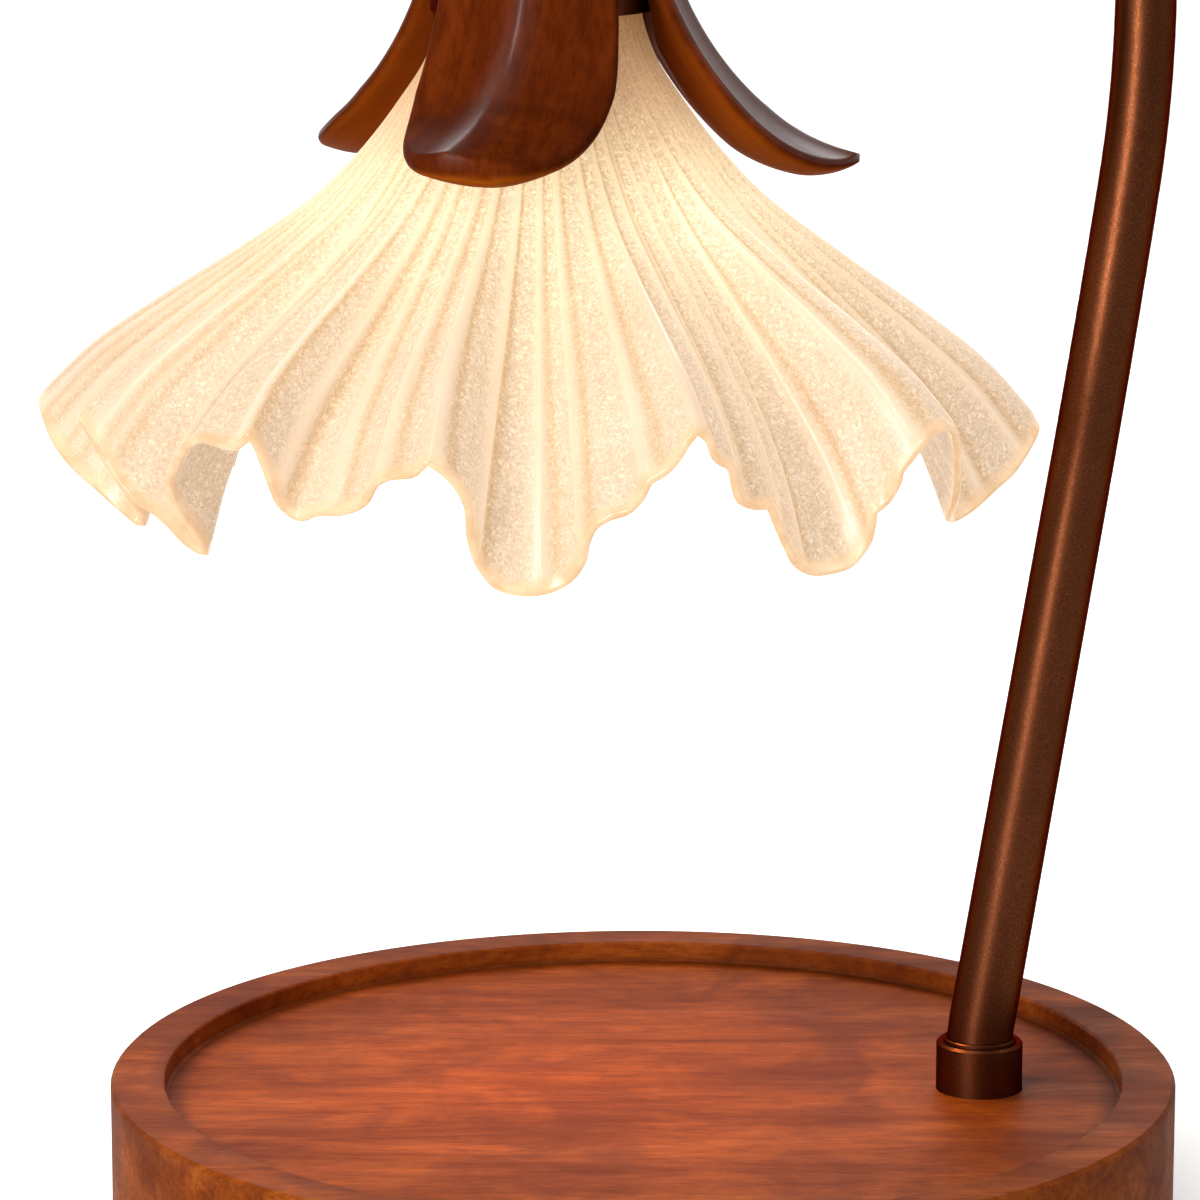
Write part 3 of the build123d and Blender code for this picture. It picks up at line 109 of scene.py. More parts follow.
class Graph:
    """A material with short ways to add and link its nodes."""

    def __init__(self, name):
        self.material = bpy.data.materials.new(name)
        self.material.use_nodes = True
        self.tree = self.material.node_tree
        self.shader = self.tree.nodes["Principled BSDF"]

    def put(self, socket, value):
        """Link a socket to another one, or set its constant."""
        if isinstance(value, bpy.types.NodeSocket):
            self.tree.links.new(value, socket)
        else:
            socket.default_value = value

    def add(self, kind, settings=(), out=0, **inputs):
        """A shader node; inputs are named, or numbered as i0, i1 and so on."""
        node = self.tree.nodes.new("ShaderNode" + kind)
        for name, value in dict(settings).items():
            setattr(node, name, value)
        for name, value in inputs.items():
            key = int(name[1:]) if name[1:].isdigit() else name.replace("_", " ").title()
            self.put(node.inputs[key], value)
        return node.outputs[out]

    def shade(self, **inputs):
        """Set the Principled shader's inputs by name."""
        for name, value in inputs.items():
            title = name.replace("_", " ").title().replace("Ior", "IOR")
            self.put(self.shader.inputs[title], value)

    def place(self):
        """Object coordinates, in metres."""
        return self.add("TexCoord", out=3)

    def value(self, name):
        """A number kept on the mesh's points."""
        return self.add("Attribute", {"attribute_name": name}, out=2)

    def vector(self, name):
        """A vector kept on the mesh's points."""
        return self.add("Attribute", {"attribute_name": name}, out=1)

    def stretch(self, vector, scale):
        return self.add("Mapping", vector=vector, scale=scale)

    def noise(self, vector, scale, detail=3.0, roughness=0.5, distortion=0.0):
        return self.add(
            "TexNoise",
            vector=vector,
            scale=scale,
            detail=detail,
            roughness=roughness,
            distortion=distortion,
        )

    def math(self, operation, first, second=0.0, clamp=False):
        settings = {"operation": operation, "use_clamp": clamp}
        return self.add("Math", settings, i0=first, i1=second)

    def times(self, first, second):
        return self.math("MULTIPLY", first, second)

    def plus(self, first, second):
        return self.math("ADD", first, second)

    def less(self, value, share):
        """One minus a share of a value, kept between 0 and 1."""
        return self.math("SUBTRACT", 1.0, self.times(value, share), True)

    def ramp(self, factor, *stops):
        """Colour or grey stops along a factor."""
        node = self.tree.nodes.new("ShaderNodeValToRGB")
        elements = node.color_ramp.elements
        while len(elements) < len(stops):
            elements.new(0.5)
        for element, (position, color) in zip(elements, stops):
            element.position = position
            element.color = (*color, 1.0) if isinstance(color, tuple) else (color, color, color, 1.0)
        self.put(node.inputs[0], factor)
        return node.outputs[0]

    def mix(self, factor, first, second):
        node = self.tree.nodes.new("ShaderNodeMix")
        node.data_type = "RGBA"
        self.put(node.inputs[0], factor)
        for index, value in ((6, first), (7, second)):
            self.put(node.inputs[index], (*value, 1.0) if isinstance(value, tuple) else value)
        return node.outputs[2]

    def bump(self, height, strength, distance):
        return self.add("Bump", height=height, strength=strength, distance=distance)


def scaled(color, factor):
    return tuple(factor * part for part in color)


def wood_color(g, place, tones, along, fine=1.0, pore_depth=0.35):
    """Stained wood's colour, and its grain and pores; along is small in the fibres' direction."""
    light, middle, dark = tones
    wander = g.noise(g.stretch(place, scaled(along, 0.35)), 9.0 * fine, 3, 0.55, 0.4)
    grain = g.noise(g.stretch(place, along), 55.0 * fine, 6, 0.62, 0.6)
    fibre = g.noise(g.stretch(place, scaled(along, 4.0)), 130.0 * fine, 4, 0.7, 0.2)
    pores = g.noise(g.stretch(place, scaled(along, 9.0)), 210.0 * fine, 2, 0.5)
    blotch = g.noise(place, 42.0, 4, 0.6, 0.8)
    tone = g.plus(g.times(grain, 0.5), g.times(wander, 0.5))
    color = g.ramp(tone, (0.34, dark), (0.5, middle), (0.68, light))
    color = g.mix(g.ramp(fibre, (0.38, 0.5), (0.56, 0.0)), color, dark)
    color = g.mix(g.ramp(blotch, (0.38, 0.6), (0.56, 0.0)), color, dark)
    color = g.mix(g.ramp(pores, (0.30, pore_depth), (0.40, 0.0)), color, scaled(dark, 0.4))
    return color, grain, g.plus(fibre, g.times(pores, 0.6))


def base_wood():
    """The base: grain along X, painted shade in the tray's corner, and a painted highlight along the
    outer edge of its rim.
    """
    g = Graph("base_wood")
    place = g.place()
    tones = ((0.38, 0.098, 0.014), (0.250, 0.054, 0.006), (0.085, 0.013, 0.002))
    color, grain, relief = wood_color(g, place, tones, (0.16, 1.0, 1.0), 1.9)
    radius = g.add("VectorMath", {"operation": "LENGTH"}, out=1, vector=g.stretch(place, (1, 1, 0)))
    height = g.add("SeparateXYZ", out=2, vector=place)
    # painted shade: the tray's inner corner darkened, most near the floor
    from_wall = g.math("ABSOLUTE", g.math("SUBTRACT", radius, TRAY_RADIUS * MM))
    corner = g.ramp(from_wall, (0.0, 0.9), (CORNER_SHADE_WIDTH * MM, 0.0))
    over_floor = g.times(g.math("SUBTRACT", height, TRAY_FLOOR * MM), 1 / MM)
    low = g.ramp(over_floor, (0.0, 1.0), (1.0, 0.0))
    color = g.mix(g.times(corner, g.plus(0.35, g.times(low, 0.6))), color, (0.030, 0.007, 0.002))
    # painted highlight: a pale line along the rim's outer edge, on its top only
    past_edge = g.math("SUBTRACT", radius, OUTER_EDGE_RADIUS * MM)
    edge = g.ramp(past_edge, (0.0, 0.0), (0.0006, 0.45), (0.0013, 0.0))
    over_edge = g.times(g.math("SUBTRACT", height, OUTER_EDGE_LOW * MM), 1 / MM)
    on_top = g.ramp(over_edge, (0.0, 0.0), (0.6, 1.0))
    color = g.mix(g.times(edge, on_top), color, (0.75, 0.30, 0.09))
    g.shade(
        base_color=color,
        roughness=g.ramp(grain, (0.3, 0.55), (0.7, 0.45)),
        specular_ior_level=0.03,
        normal=g.bump(relief, 0.22, 0.0002),
    )
    return g.material


def slat_wood(name, place_of, along):
    """The darker wood of the hub and the sepals, polished on their ridges, with painted orange glow on
    their undersides.
    """
    g = Graph(name)
    tones = ((0.185, 0.038, 0.005), (0.112, 0.018, 0.002), (0.040, 0.005, 0.001))
    color, grain, relief = wood_color(g, place_of(g), tones, along, 1.5, 0.25)
    polish = g.value("polish")
    # painted light: lighter orange wood on the undersides, for the glass's glow from below
    lit = g.mix(g.ramp(grain, (0.3, 0.0), (0.7, 1.0)), (0.21, 0.041, 0.002), (0.30, 0.068, 0.003))
    color = g.mix(g.times(g.value("underside_glow"), 0.75), color, lit)
    g.shade(
        base_color=color,
        roughness=g.math("SUBTRACT", g.ramp(grain, (0.3, 0.46), (0.7, 0.38)), g.times(polish, 0.10)),
        specular_ior_level=g.plus(0.004, g.times(polish, 0.40)),
        normal=g.bump(relief, 0.15, 0.00012),
    )
    return g.material


def bronze_paint():
    """Dark metallic paint with a fine fleck; the flakes shine less where they are seen edge on."""
    g = Graph("bronze_paint")
    place = g.place()
    fleck = g.noise(place, 4200.0, 2, 0.5)
    cloud = g.noise(place, 60.0, 3, 0.5)
    color = g.mix(g.ramp(fleck, (0.40, 0.0), (0.70, 1.0)), (0.085, 0.024, 0.009), (0.150, 0.047, 0.018))
    color = g.mix(g.ramp(cloud, (0.35, 0.25), (0.65, 0.0)), color, (0.05, 0.014, 0.005))
    g.shade(
        base_color=color,
        metallic=1.0,
        specular_tint=(0.32, 0.18, 0.10, 1.0),
        roughness=g.ramp(fleck, (0.3, 0.42), (0.7, 0.32)),
        normal=g.bump(fleck, 0.12, 0.00005),
    )
    return g.material


def plain(name, color, rough, metallic=0.0, scale=900.0, vary=0.25, depth=0.15):
    """Moulded or plated surface: a slow and a fine noise in its colour, gloss and relief."""
    g = Graph(name)
    place = g.place()
    fine = g.noise(place, scale, 3, 0.55)
    slow = g.noise(place, scale / 14, 2, 0.5)
    tone = g.mix(g.ramp(slow, (0.3, vary), (0.7, 0.0)), color, scaled(color, 0.6))
    tone = g.mix(g.ramp(fine, (0.35, vary), (0.6, 0.0)), tone, scaled(color, 0.8))
    g.shade(
        base_color=tone,
        metallic=metallic,
        roughness=g.ramp(fine, (0.3, min(1.0, rough + 0.08)), (0.7, max(0.05, rough - 0.06))),
        normal=g.bump(fine, depth, 0.0001),
    )
    return g.material


def lamp_lens():
    """Pressed lens over the lamp, bright in the middle, with a fine pattern of beads."""
    g = Graph("lamp_lens")
    place = g.add("Mapping", vector=g.place(), location=(-SHADE_X * MM, 0, 0))
    beads = g.add("TexVoronoi", {"feature": "SMOOTH_F1"}, vector=place, scale=420.0)
    middle = g.add("VectorMath", {"operation": "LENGTH"}, out=1, vector=g.stretch(place, (1, 1, 0)))
    across = g.times(middle, 1 / (LAMP_RADIUS * MM))
    level = g.ramp(across, (0.0, 1.0), (0.55, 0.75), (0.92, 0.35), (1.0, 0.1))
    g.shade(
        base_color=(0.95, 0.92, 0.85, 1.0),
        roughness=g.ramp(beads, (0.2, 0.1), (0.8, 0.3)),
        emission_color=g.mix(level, (1.0, 0.72, 0.36), (1.0, 0.90, 0.68)),
        emission_strength=g.times(level, g.plus(3.0, g.times(beads, 3.0))),
        normal=g.bump(beads, 0.6, 0.0004),
    )
    return g.material


def shade_glass():
    """Frosted opal glass lit from inside: smooth ribs, pebbled bands and a clear polished rim."""
    g = Graph("shade_glass")
    place = g.place()
    rib = g.value("rib")
    groove = g.value("groove")
    rim = g.value("rim")
    glow = g.value("glow")
    inside = g.value("inside")
    cloud = g.noise(place, 60.0, 3, 0.5)
    pebble = g.noise(place, 1900.0, 2, 0.6, 0.8)
    worm = g.noise(place, 1150.0, 2, 0.5, 2.0)
    frosted = g.times(g.less(rib, 1.0), g.less(rim, 1.0))
    relief = g.plus(g.times(pebble, 0.6), g.times(worm, 0.4))
    pits = g.times(frosted, g.ramp(relief, (0.42, 1.0), (0.49, 0.0)))
    sparks = g.times(frosted, g.ramp(relief, (0.54, 0.0), (0.60, 1.0)))
    # painted shade: the neck, darker and more orange from 165 mm above the table upwards, where less of
    # the lamp's light reaches it
    height = g.add("SeparateXYZ", out=2, vector=place)
    shaded = g.ramp(height, (0.165, 0.0), (0.182, 0.45), (0.198, 1.0))
    # the glass's own colour
    body = g.mix(g.ramp(cloud, (0.35, 0.0), (0.7, 1.0)), (0.32, 0.235, 0.155), (0.37, 0.285, 0.20))
    body = g.mix(shaded, body, (0.33, 0.110, 0.018))
    body = g.mix(g.times(pits, 0.3), body, (0.34, 0.22, 0.11))
    body = g.mix(g.times(groove, 0.5), body, (0.34, 0.20, 0.09))
    streak = g.noise(place, 260.0, 3, 0.6)
    edge = g.mix(g.ramp(streak, (0.42, 0.0), (0.58, 1.0)), (0.40, 0.25, 0.12), (0.50, 0.36, 0.22))
    body = g.mix(rim, body, edge)
    # the light that comes through it: its colour, then its strength
    warm = g.ramp(glow, (0.0, (1.0, 0.78, 0.58)), (0.3, (1.0, 0.79, 0.54)), (1.0, (1.0, 0.90, 0.60)))
    warm = g.mix(g.times(g.plus(pits, g.times(groove, 1.6)), 0.3), warm, (1.0, 0.62, 0.28))
    warm = g.mix(shaded, warm, (1.0, 0.46, 0.12))
    warm = g.mix(g.times(rim, 0.7), warm, (1.0, 0.70, 0.42))
    strength = g.ramp(glow, (0.0, 0.51), (0.25, 0.58), (0.6, 0.70), (1.0, 0.88))
    strength = g.times(strength, g.less(shaded, 0.78))
    away = g.math("ABSOLUTE", g.math("SUBTRACT", worm, 0.5))
    squiggles = g.times(frosted, g.ramp(away, (0.0, 1.0), (0.03, 0.0)))
    texture = g.times(g.less(pits, 0.20), g.less(groove, 0.20))
    texture = g.times(texture, g.less(squiggles, 0.22))
    texture = g.plus(texture, g.times(sparks, 0.40))
    texture = g.plus(texture, g.times(rib, 0.14))
    texture = g.times(texture, g.less(g.plus(g.times(inside, 0.18), g.times(rim, 0.16)), 1.0))
    g.shade(
        base_color=body,
        roughness=g.ramp(frosted, (0.0, 0.18), (1.0, 0.48)),
        transmission_weight=g.times(g.plus(0.26, g.times(rim, 0.25)), g.less(shaded, 1.0)),
        ior=1.45,
        specular_ior_level=g.times(0.35, g.less(shaded, 1.0)),
        emission_color=warm,
        emission_strength=g.times(strength, texture),
        normal=g.bump(g.times(relief, frosted), 0.75, 0.0005),
    )
    return g.material


def grain_vector(g):
    """The sepals' own coordinates, in metres: across, along the fibres, and through."""
    return g.vector("grain")


HUB_WOOD = slat_wood("hub_wood", Graph.place, (1.0, 1.0, 0.22))
SEPAL_WOOD = slat_wood("sepal_wood", grain_vector, (1.0, 0.2, 1.0))
SHADE_GLASS = shade_glass()
FINISHES = {
    "base_wood": base_wood(),
    "sepal_wood": HUB_WOOD,
    "hub_wood": HUB_WOOD,
    "bronze": bronze_paint(),
    "shade_glass": SHADE_GLASS,
    "steel": plain("zinc_steel", (0.55, 0.55, 0.54), 0.32, 1.0, 500.0),
    "lens_glass": lamp_lens(),
    "lamp_mirror": plain("lamp_reflector", (0.80, 0.78, 0.74), 0.12, 1.0, 300.0, 0.1, 0.05),
    "lamp_body": plain("lamp_base_glaze", (0.80, 0.78, 0.74), 0.25),
    "ceramic": plain("holder_ceramic", (0.76, 0.73, 0.68), 0.45, 0.0, 1400.0),
    "brass": plain("contact_brass", (0.72, 0.50, 0.22), 0.28, 1.0, 700.0),
    "ballast_iron": plain("ballast_iron", (0.10, 0.10, 0.105), 0.55, 0.8, 700.0, 0.4, 0.5),
    "pad_rubber": plain("pad_rubber", (0.028, 0.027, 0.026), 0.75, 0.0, 1800.0, 0.3, 0.5),
    "gasket_rubber": plain("gasket_silicone", (0.62, 0.60, 0.56), 0.55, 0.0, 1500.0),
    "cover_board": plain("cover_board", (0.035, 0.030, 0.027), 0.7, 0.0, 1200.0, 0.35, 0.3),
    "black_plastic": plain("black_plastic", (0.018, 0.018, 0.018), 0.48, 0.0, 1600.0, 0.3, 0.35),
    "white_plastic": plain("white_plastic", (0.70, 0.69, 0.65), 0.42, 0.0, 1300.0, 0.15, 0.2),
    "circuit_board": plain("circuit_board", (0.02, 0.14, 0.055), 0.35, 0.0, 800.0, 0.35),
    "capacitor_film": plain("capacitor_film", (0.42, 0.13, 0.02), 0.22, 0.0, 600.0),
    "choke_copper": plain("choke_copper", (0.42, 0.15, 0.055), 0.3, 0.9, 900.0),
    "lead_sleeve": plain("lead_sleeve", (0.68, 0.66, 0.60), 0.5, 0.0, 1500.0),
}

# ---------------------------------------------------------------- mesh helpers


def ring_faces(rows, columns):
    """Quads between rings of points, each ring joined to itself."""
    faces = []
    for i in range(rows - 1):
        for j in range(columns):
            k = (j + 1) % columns
            faces.append((i * columns + j, (i + 1) * columns + j, (i + 1) * columns + k, i * columns + k))
    return faces


def new_piece(name, points, faces, material, node, numbers=None, vectors=None):
    """A smooth mesh on the arm, from points in millimetres, that stands for a CAD node."""
    mesh = bpy.data.meshes.new(name)
    mesh.from_pydata((np.asarray(points) * MM).tolist(), [], faces)
    mesh.polygons.foreach_set("use_smooth", [True] * len(mesh.polygons))
    for key, values in (numbers or {}).items():
        layer = mesh.attributes.new(key, "FLOAT", "POINT")
        layer.data.foreach_set("value", np.asarray(values, np.float32))
    for key, values in (vectors or {}).items():
        layer = mesh.attributes.new(key, "FLOAT_VECTOR", "POINT")
        layer.data.foreach_set("vector", np.asarray(values, np.float32).ravel())
    mesh.materials.append(material)
    mesh.update()
    piece = add_object(name, mesh)
    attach(piece, "arm")
    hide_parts(node)
    return piece


def sharpen(piece, degrees):
    """Smooth shading that keeps the edges sharper than an angle."""
    piece.data.polygons.foreach_set("use_smooth", [True] * len(piece.data.polygons))
    piece.data.set_sharp_from_angle(angle=math.radians(degrees))


def unit(vectors):
    return vectors / np.linalg.norm(vectors, axis=-1, keepdims=True)


def cubic(points, times, wanted):
    """A smooth curve through points at given times, evaluated at the wanted times."""
    slopes = np.gradient(points, times, axis=0)
    cell = np.clip(np.searchsorted(times, wanted, side="right") - 1, 0, len(times) - 2)
    span = (times[cell + 1] - times[cell])[:, None]
    t = (wanted - times[cell])[:, None] / span
    return (
        points[cell] * (2 * t**3 - 3 * t**2 + 1)
        + slopes[cell] * span * (t**3 - 2 * t**2 + t)
        + points[cell + 1] * (3 * t**2 - 2 * t**3)
        + slopes[cell + 1] * span * (t**3 - t**2)
    )


# ---------------------------------------------------------------- shade

# Mean meridian of the glass from the neck to the rim: radius and height
NECK = [(10.5, 205.0), (12.3, 203.2), (13.6, 199.0), (14.6, 195.0)]
BELL = [
    (14.8, 192.0),
    (16.5, 186.0),
    (21.5, 177.5),
    (31.5, 164.5),
    (43.5, 153.8),
    (54.5, 144.3),
    (63.5, 135.0),
    (70.0, 125.0),
]

# The ruffled rim's front half, from the left crest to the right one: azimuth, radius, height.
# Points read by eye off the photo, turned into degrees and millimetres with the camera above
# outside this script, and then changed by hand
FRONT_RIM = [
    (-172.0, 75.8, 131.5), (-168.0, 74.6, 128.5), (-165.0, 72.5, 125.5), (-160.3, 70.6, 123.6),
    (-157.3, 67.5, 120.4), (-156.0, 65.2, 118.4), (-155.4, 65.6, 119.4), (-155.0, 68.5, 124.5),
    (-154.8, 72.5, 131.0), (-154.1, 75.0, 135.7), (-152.0, 75.3, 135.2), (-148.9, 74.5, 131.8),
    (-145.9, 72.8, 126.4), (-144.3, 71.4, 124.2), (-143.6, 69.5, 122.8), (-143.2, 67.0, 120.5),
    (-142.8, 64.0, 117.2), (-142.2, 62.6, 116.2), (-141.6, 63.6, 118.0), (-141.2, 65.4, 120.2),
    (-140.9, 67.4, 122.4), (-140.5, 69.2, 125.3), (-138.7, 71.3, 128.9), (-135.1, 73.2, 132.0),
    (-132.0, 74.6, 135.2), (-129.4, 75.0, 136.3), (-127.2, 74.8, 135.9), (-125.1, 74.9, 135.7),
    (-123.3, 75.6, 136.9), (-122.2, 75.8, 137.9), (-121.6, 75.0, 136.8), (-121.3, 73.0, 133.3),
    (-121.2, 71.0, 129.3), (-121.0, 69.6, 126.7), (-119.8, 68.6, 125.2), (-117.5, 68.8, 126.1),
    (-113.7, 69.2, 126.7), (-110.6, 70.4, 128.4), (-108.6, 71.7, 131.6), (-106.6, 72.3, 132.8),
    (-104.1, 72.6, 133.3), (-101.9, 73.6, 135.3), (-99.7, 72.7, 133.6), (-98.2, 71.5, 131.2),
    (-97.3, 70.0, 128.3), (-97.2, 68.0, 123.4), (-96.3, 66.5, 119.0), (-94.7, 65.5, 116.4),
    (-92.6, 65.0, 115.5), (-88.8, 65.0, 115.7), (-86.3, 65.6, 117.3), (-85.0, 66.6, 119.8),
    (-84.6, 67.6, 122.6), (-83.6, 69.0, 125.4), (-81.7, 70.0, 127.0), (-79.9, 70.6, 127.8),
    (-78.6, 71.6, 129.8), (-77.7, 72.5, 132.2), (-76.2, 73.1, 133.5), (-75.1, 74.0, 135.3),
    (-74.0, 75.0, 138.0), (-72.7, 75.5, 139.6), (-71.0, 75.2, 138.4), (-69.8, 74.5, 135.4),
    (-67.7, 73.5, 133.7), (-66.7, 72.0, 130.8), (-65.6, 71.0, 128.5), (-63.8, 70.5, 127.5),
    (-61.9, 70.4, 127.3), (-60.0, 69.0, 124.7), (-57.6, 67.5, 120.7), (-55.3, 66.5, 117.4),
    (-52.8, 66.0, 116.0), (-49.6, 66.0, 115.8), (-46.9, 66.4, 116.4), (-46.0, 67.4, 118.4),
    (-46.6, 69.3, 122.4), (-46.8, 70.1, 124.2), (-45.8, 71.1, 125.5), (-45.3, 72.5, 128.2),
    (-45.5, 73.4, 130.0), (-44.7, 74.1, 131.7), (-43.6, 75.0, 133.7), (-42.2, 75.6, 135.6),
    (-39.8, 75.9, 136.5), (-37.1, 75.4, 135.4), (-34.8, 74.3, 133.2), (-31.6, 72.3, 129.4),
    (-27.4, 69.8, 125.2), (-22.6, 67.2, 121.2), (-18.0, 65.0, 118.0), (-15.2, 65.2, 117.4),
    (-12.6, 67.2, 118.6), (-9.9, 70.0, 121.2), (-7.8, 72.3, 123.2), (-5.6, 74.2, 125.8),
    (-3.4, 75.6, 128.0),
]
RIM_OVERLAP = 3
BACK_DRIFT = 2.5
COLUMNS = 960
OUTER_ROWS = 100
INNER_ROWS = 44
BEAD_ROWS = 7
NECK_BLUR = 12
WALL = 1.25
BEAD_REACH = 0.7
BEAD_SWELL = 1.08
FOLD_GROWTH = 2.2
DRIFT_GROWTH = 3
RIM_FADE = 0.8
RIM_FADE_START = 1.9

# Ribs: widths are shares of their pitch, offsets are in a rib's own width, heights are relative
RIB_SEED = 11
RIB_COUNT = 60
RIB_JITTER = 0.30
RIB_WIDTH, RIB_WIDTH_SPREAD = 0.10, 0.07
RIB_HEIGHT, RIB_HEIGHT_SPREAD = 0.65, 0.6
TWIN_CHANCE = 0.4
TWIN_HEIGHT = 0.7
TWIN_OFFSET = 2.2
GROOVE_OFFSET = 1.7
GROOVE_WIDTH = 0.7
GROOVE_DEPTH = 0.3
RIB_LOW, RIB_SWELL, RIB_SWELL_SPAN = 0.28, 0.45, 0.75
RIB_SINK = 0.3
RIB_INSIDE = 0.35
RIB_MARK_INSIDE = 0.3
RIM_CLEARANCE = 2.2
NECK_CLEARANCE = 6

# The glass that shines beside the lamp: centre, reach and heights in millimetres
GLOW_CENTRE = (SHADE_X, 0.0, 160.0)
GLOW_REACH = 38.0
GLOW_GAIN = 1.35
GLOW_FLATNESS = 0.9
GLOW_TOP = 189
GLOW_TOP_FADE = 18
GLOW_LEAST = 0.03


def whole_rim():
    """The closed rim: the front half, and the same folds again behind, mirrored and drawn a little."""
    back = [
        (-azimuth + BACK_DRIFT * math.sin(math.radians(2 * azimuth)), radius, height)
        for azimuth, radius, height in reversed(FRONT_RIM)
    ]
    return np.array(FRONT_RIM + back)


def resample(loop, count):
    """Points at even distances round the closed rim, as azimuth, radius and height."""
    turn = np.array([360.0, 0.0, 0.0])
    around = np.vstack([loop[-RIM_OVERLAP:] - turn, loop, loop[: RIM_OVERLAP + 1] + turn])
    arc_of_degree = math.radians(BELL[-1][0])
    steps = np.diff(around, axis=0) * [arc_of_degree, 1, 1]
    length = np.concatenate([[0], np.cumsum(np.linalg.norm(steps, axis=1))])
    start, end = length[RIM_OVERLAP], length[RIM_OVERLAP + len(loop)]
    return cubic(around, length, np.linspace(start, end, count, endpoint=False))


def blur_ring(values, reach):
    """A running mean round a ring, applied three times."""
    kernel = np.ones(2 * reach + 1) / (2 * reach + 1)
    for _ in range(3):
        values = np.convolve(np.concatenate([values[-reach:], values, values[:reach]]), kernel, "valid")
    return values


def rib_fields(azimuth):
    """For each column, how near a rib and its groove it lies, 0 to 1, and the ribs' relief."""
    pick = random.Random(RIB_SEED)
    pitch = 360 / RIB_COUNT
    near = np.zeros(len(azimuth))
    groove = np.zeros(len(azimuth))
    relief = np.zeros(len(azimuth))
    for k in range(RIB_COUNT):
        centre = (k + RIB_JITTER * (pick.random() - 0.5)) * pitch
        width = pitch * (RIB_WIDTH + RIB_WIDTH_SPREAD * pick.random())
        height = RIB_HEIGHT + RIB_HEIGHT_SPREAD * pick.random()
        twin_share = TWIN_HEIGHT if pick.random() < TWIN_CHANCE else 0.0
        for shift, share in ((0.0, 1.0), (TWIN_OFFSET * width, twin_share)):
            away = (azimuth - centre - shift + 180) % 360 - 180
            hill = np.exp(-((away / width) ** 2)) * share
            dip = np.exp(-(((away - GROOVE_OFFSET * width) / (GROOVE_WIDTH * width)) ** 2)) * share
            near = np.maximum(near, hill)
            groove = np.maximum(groove, dip)
            relief += hill * height - GROOVE_DEPTH * dip
    return near, groove, relief


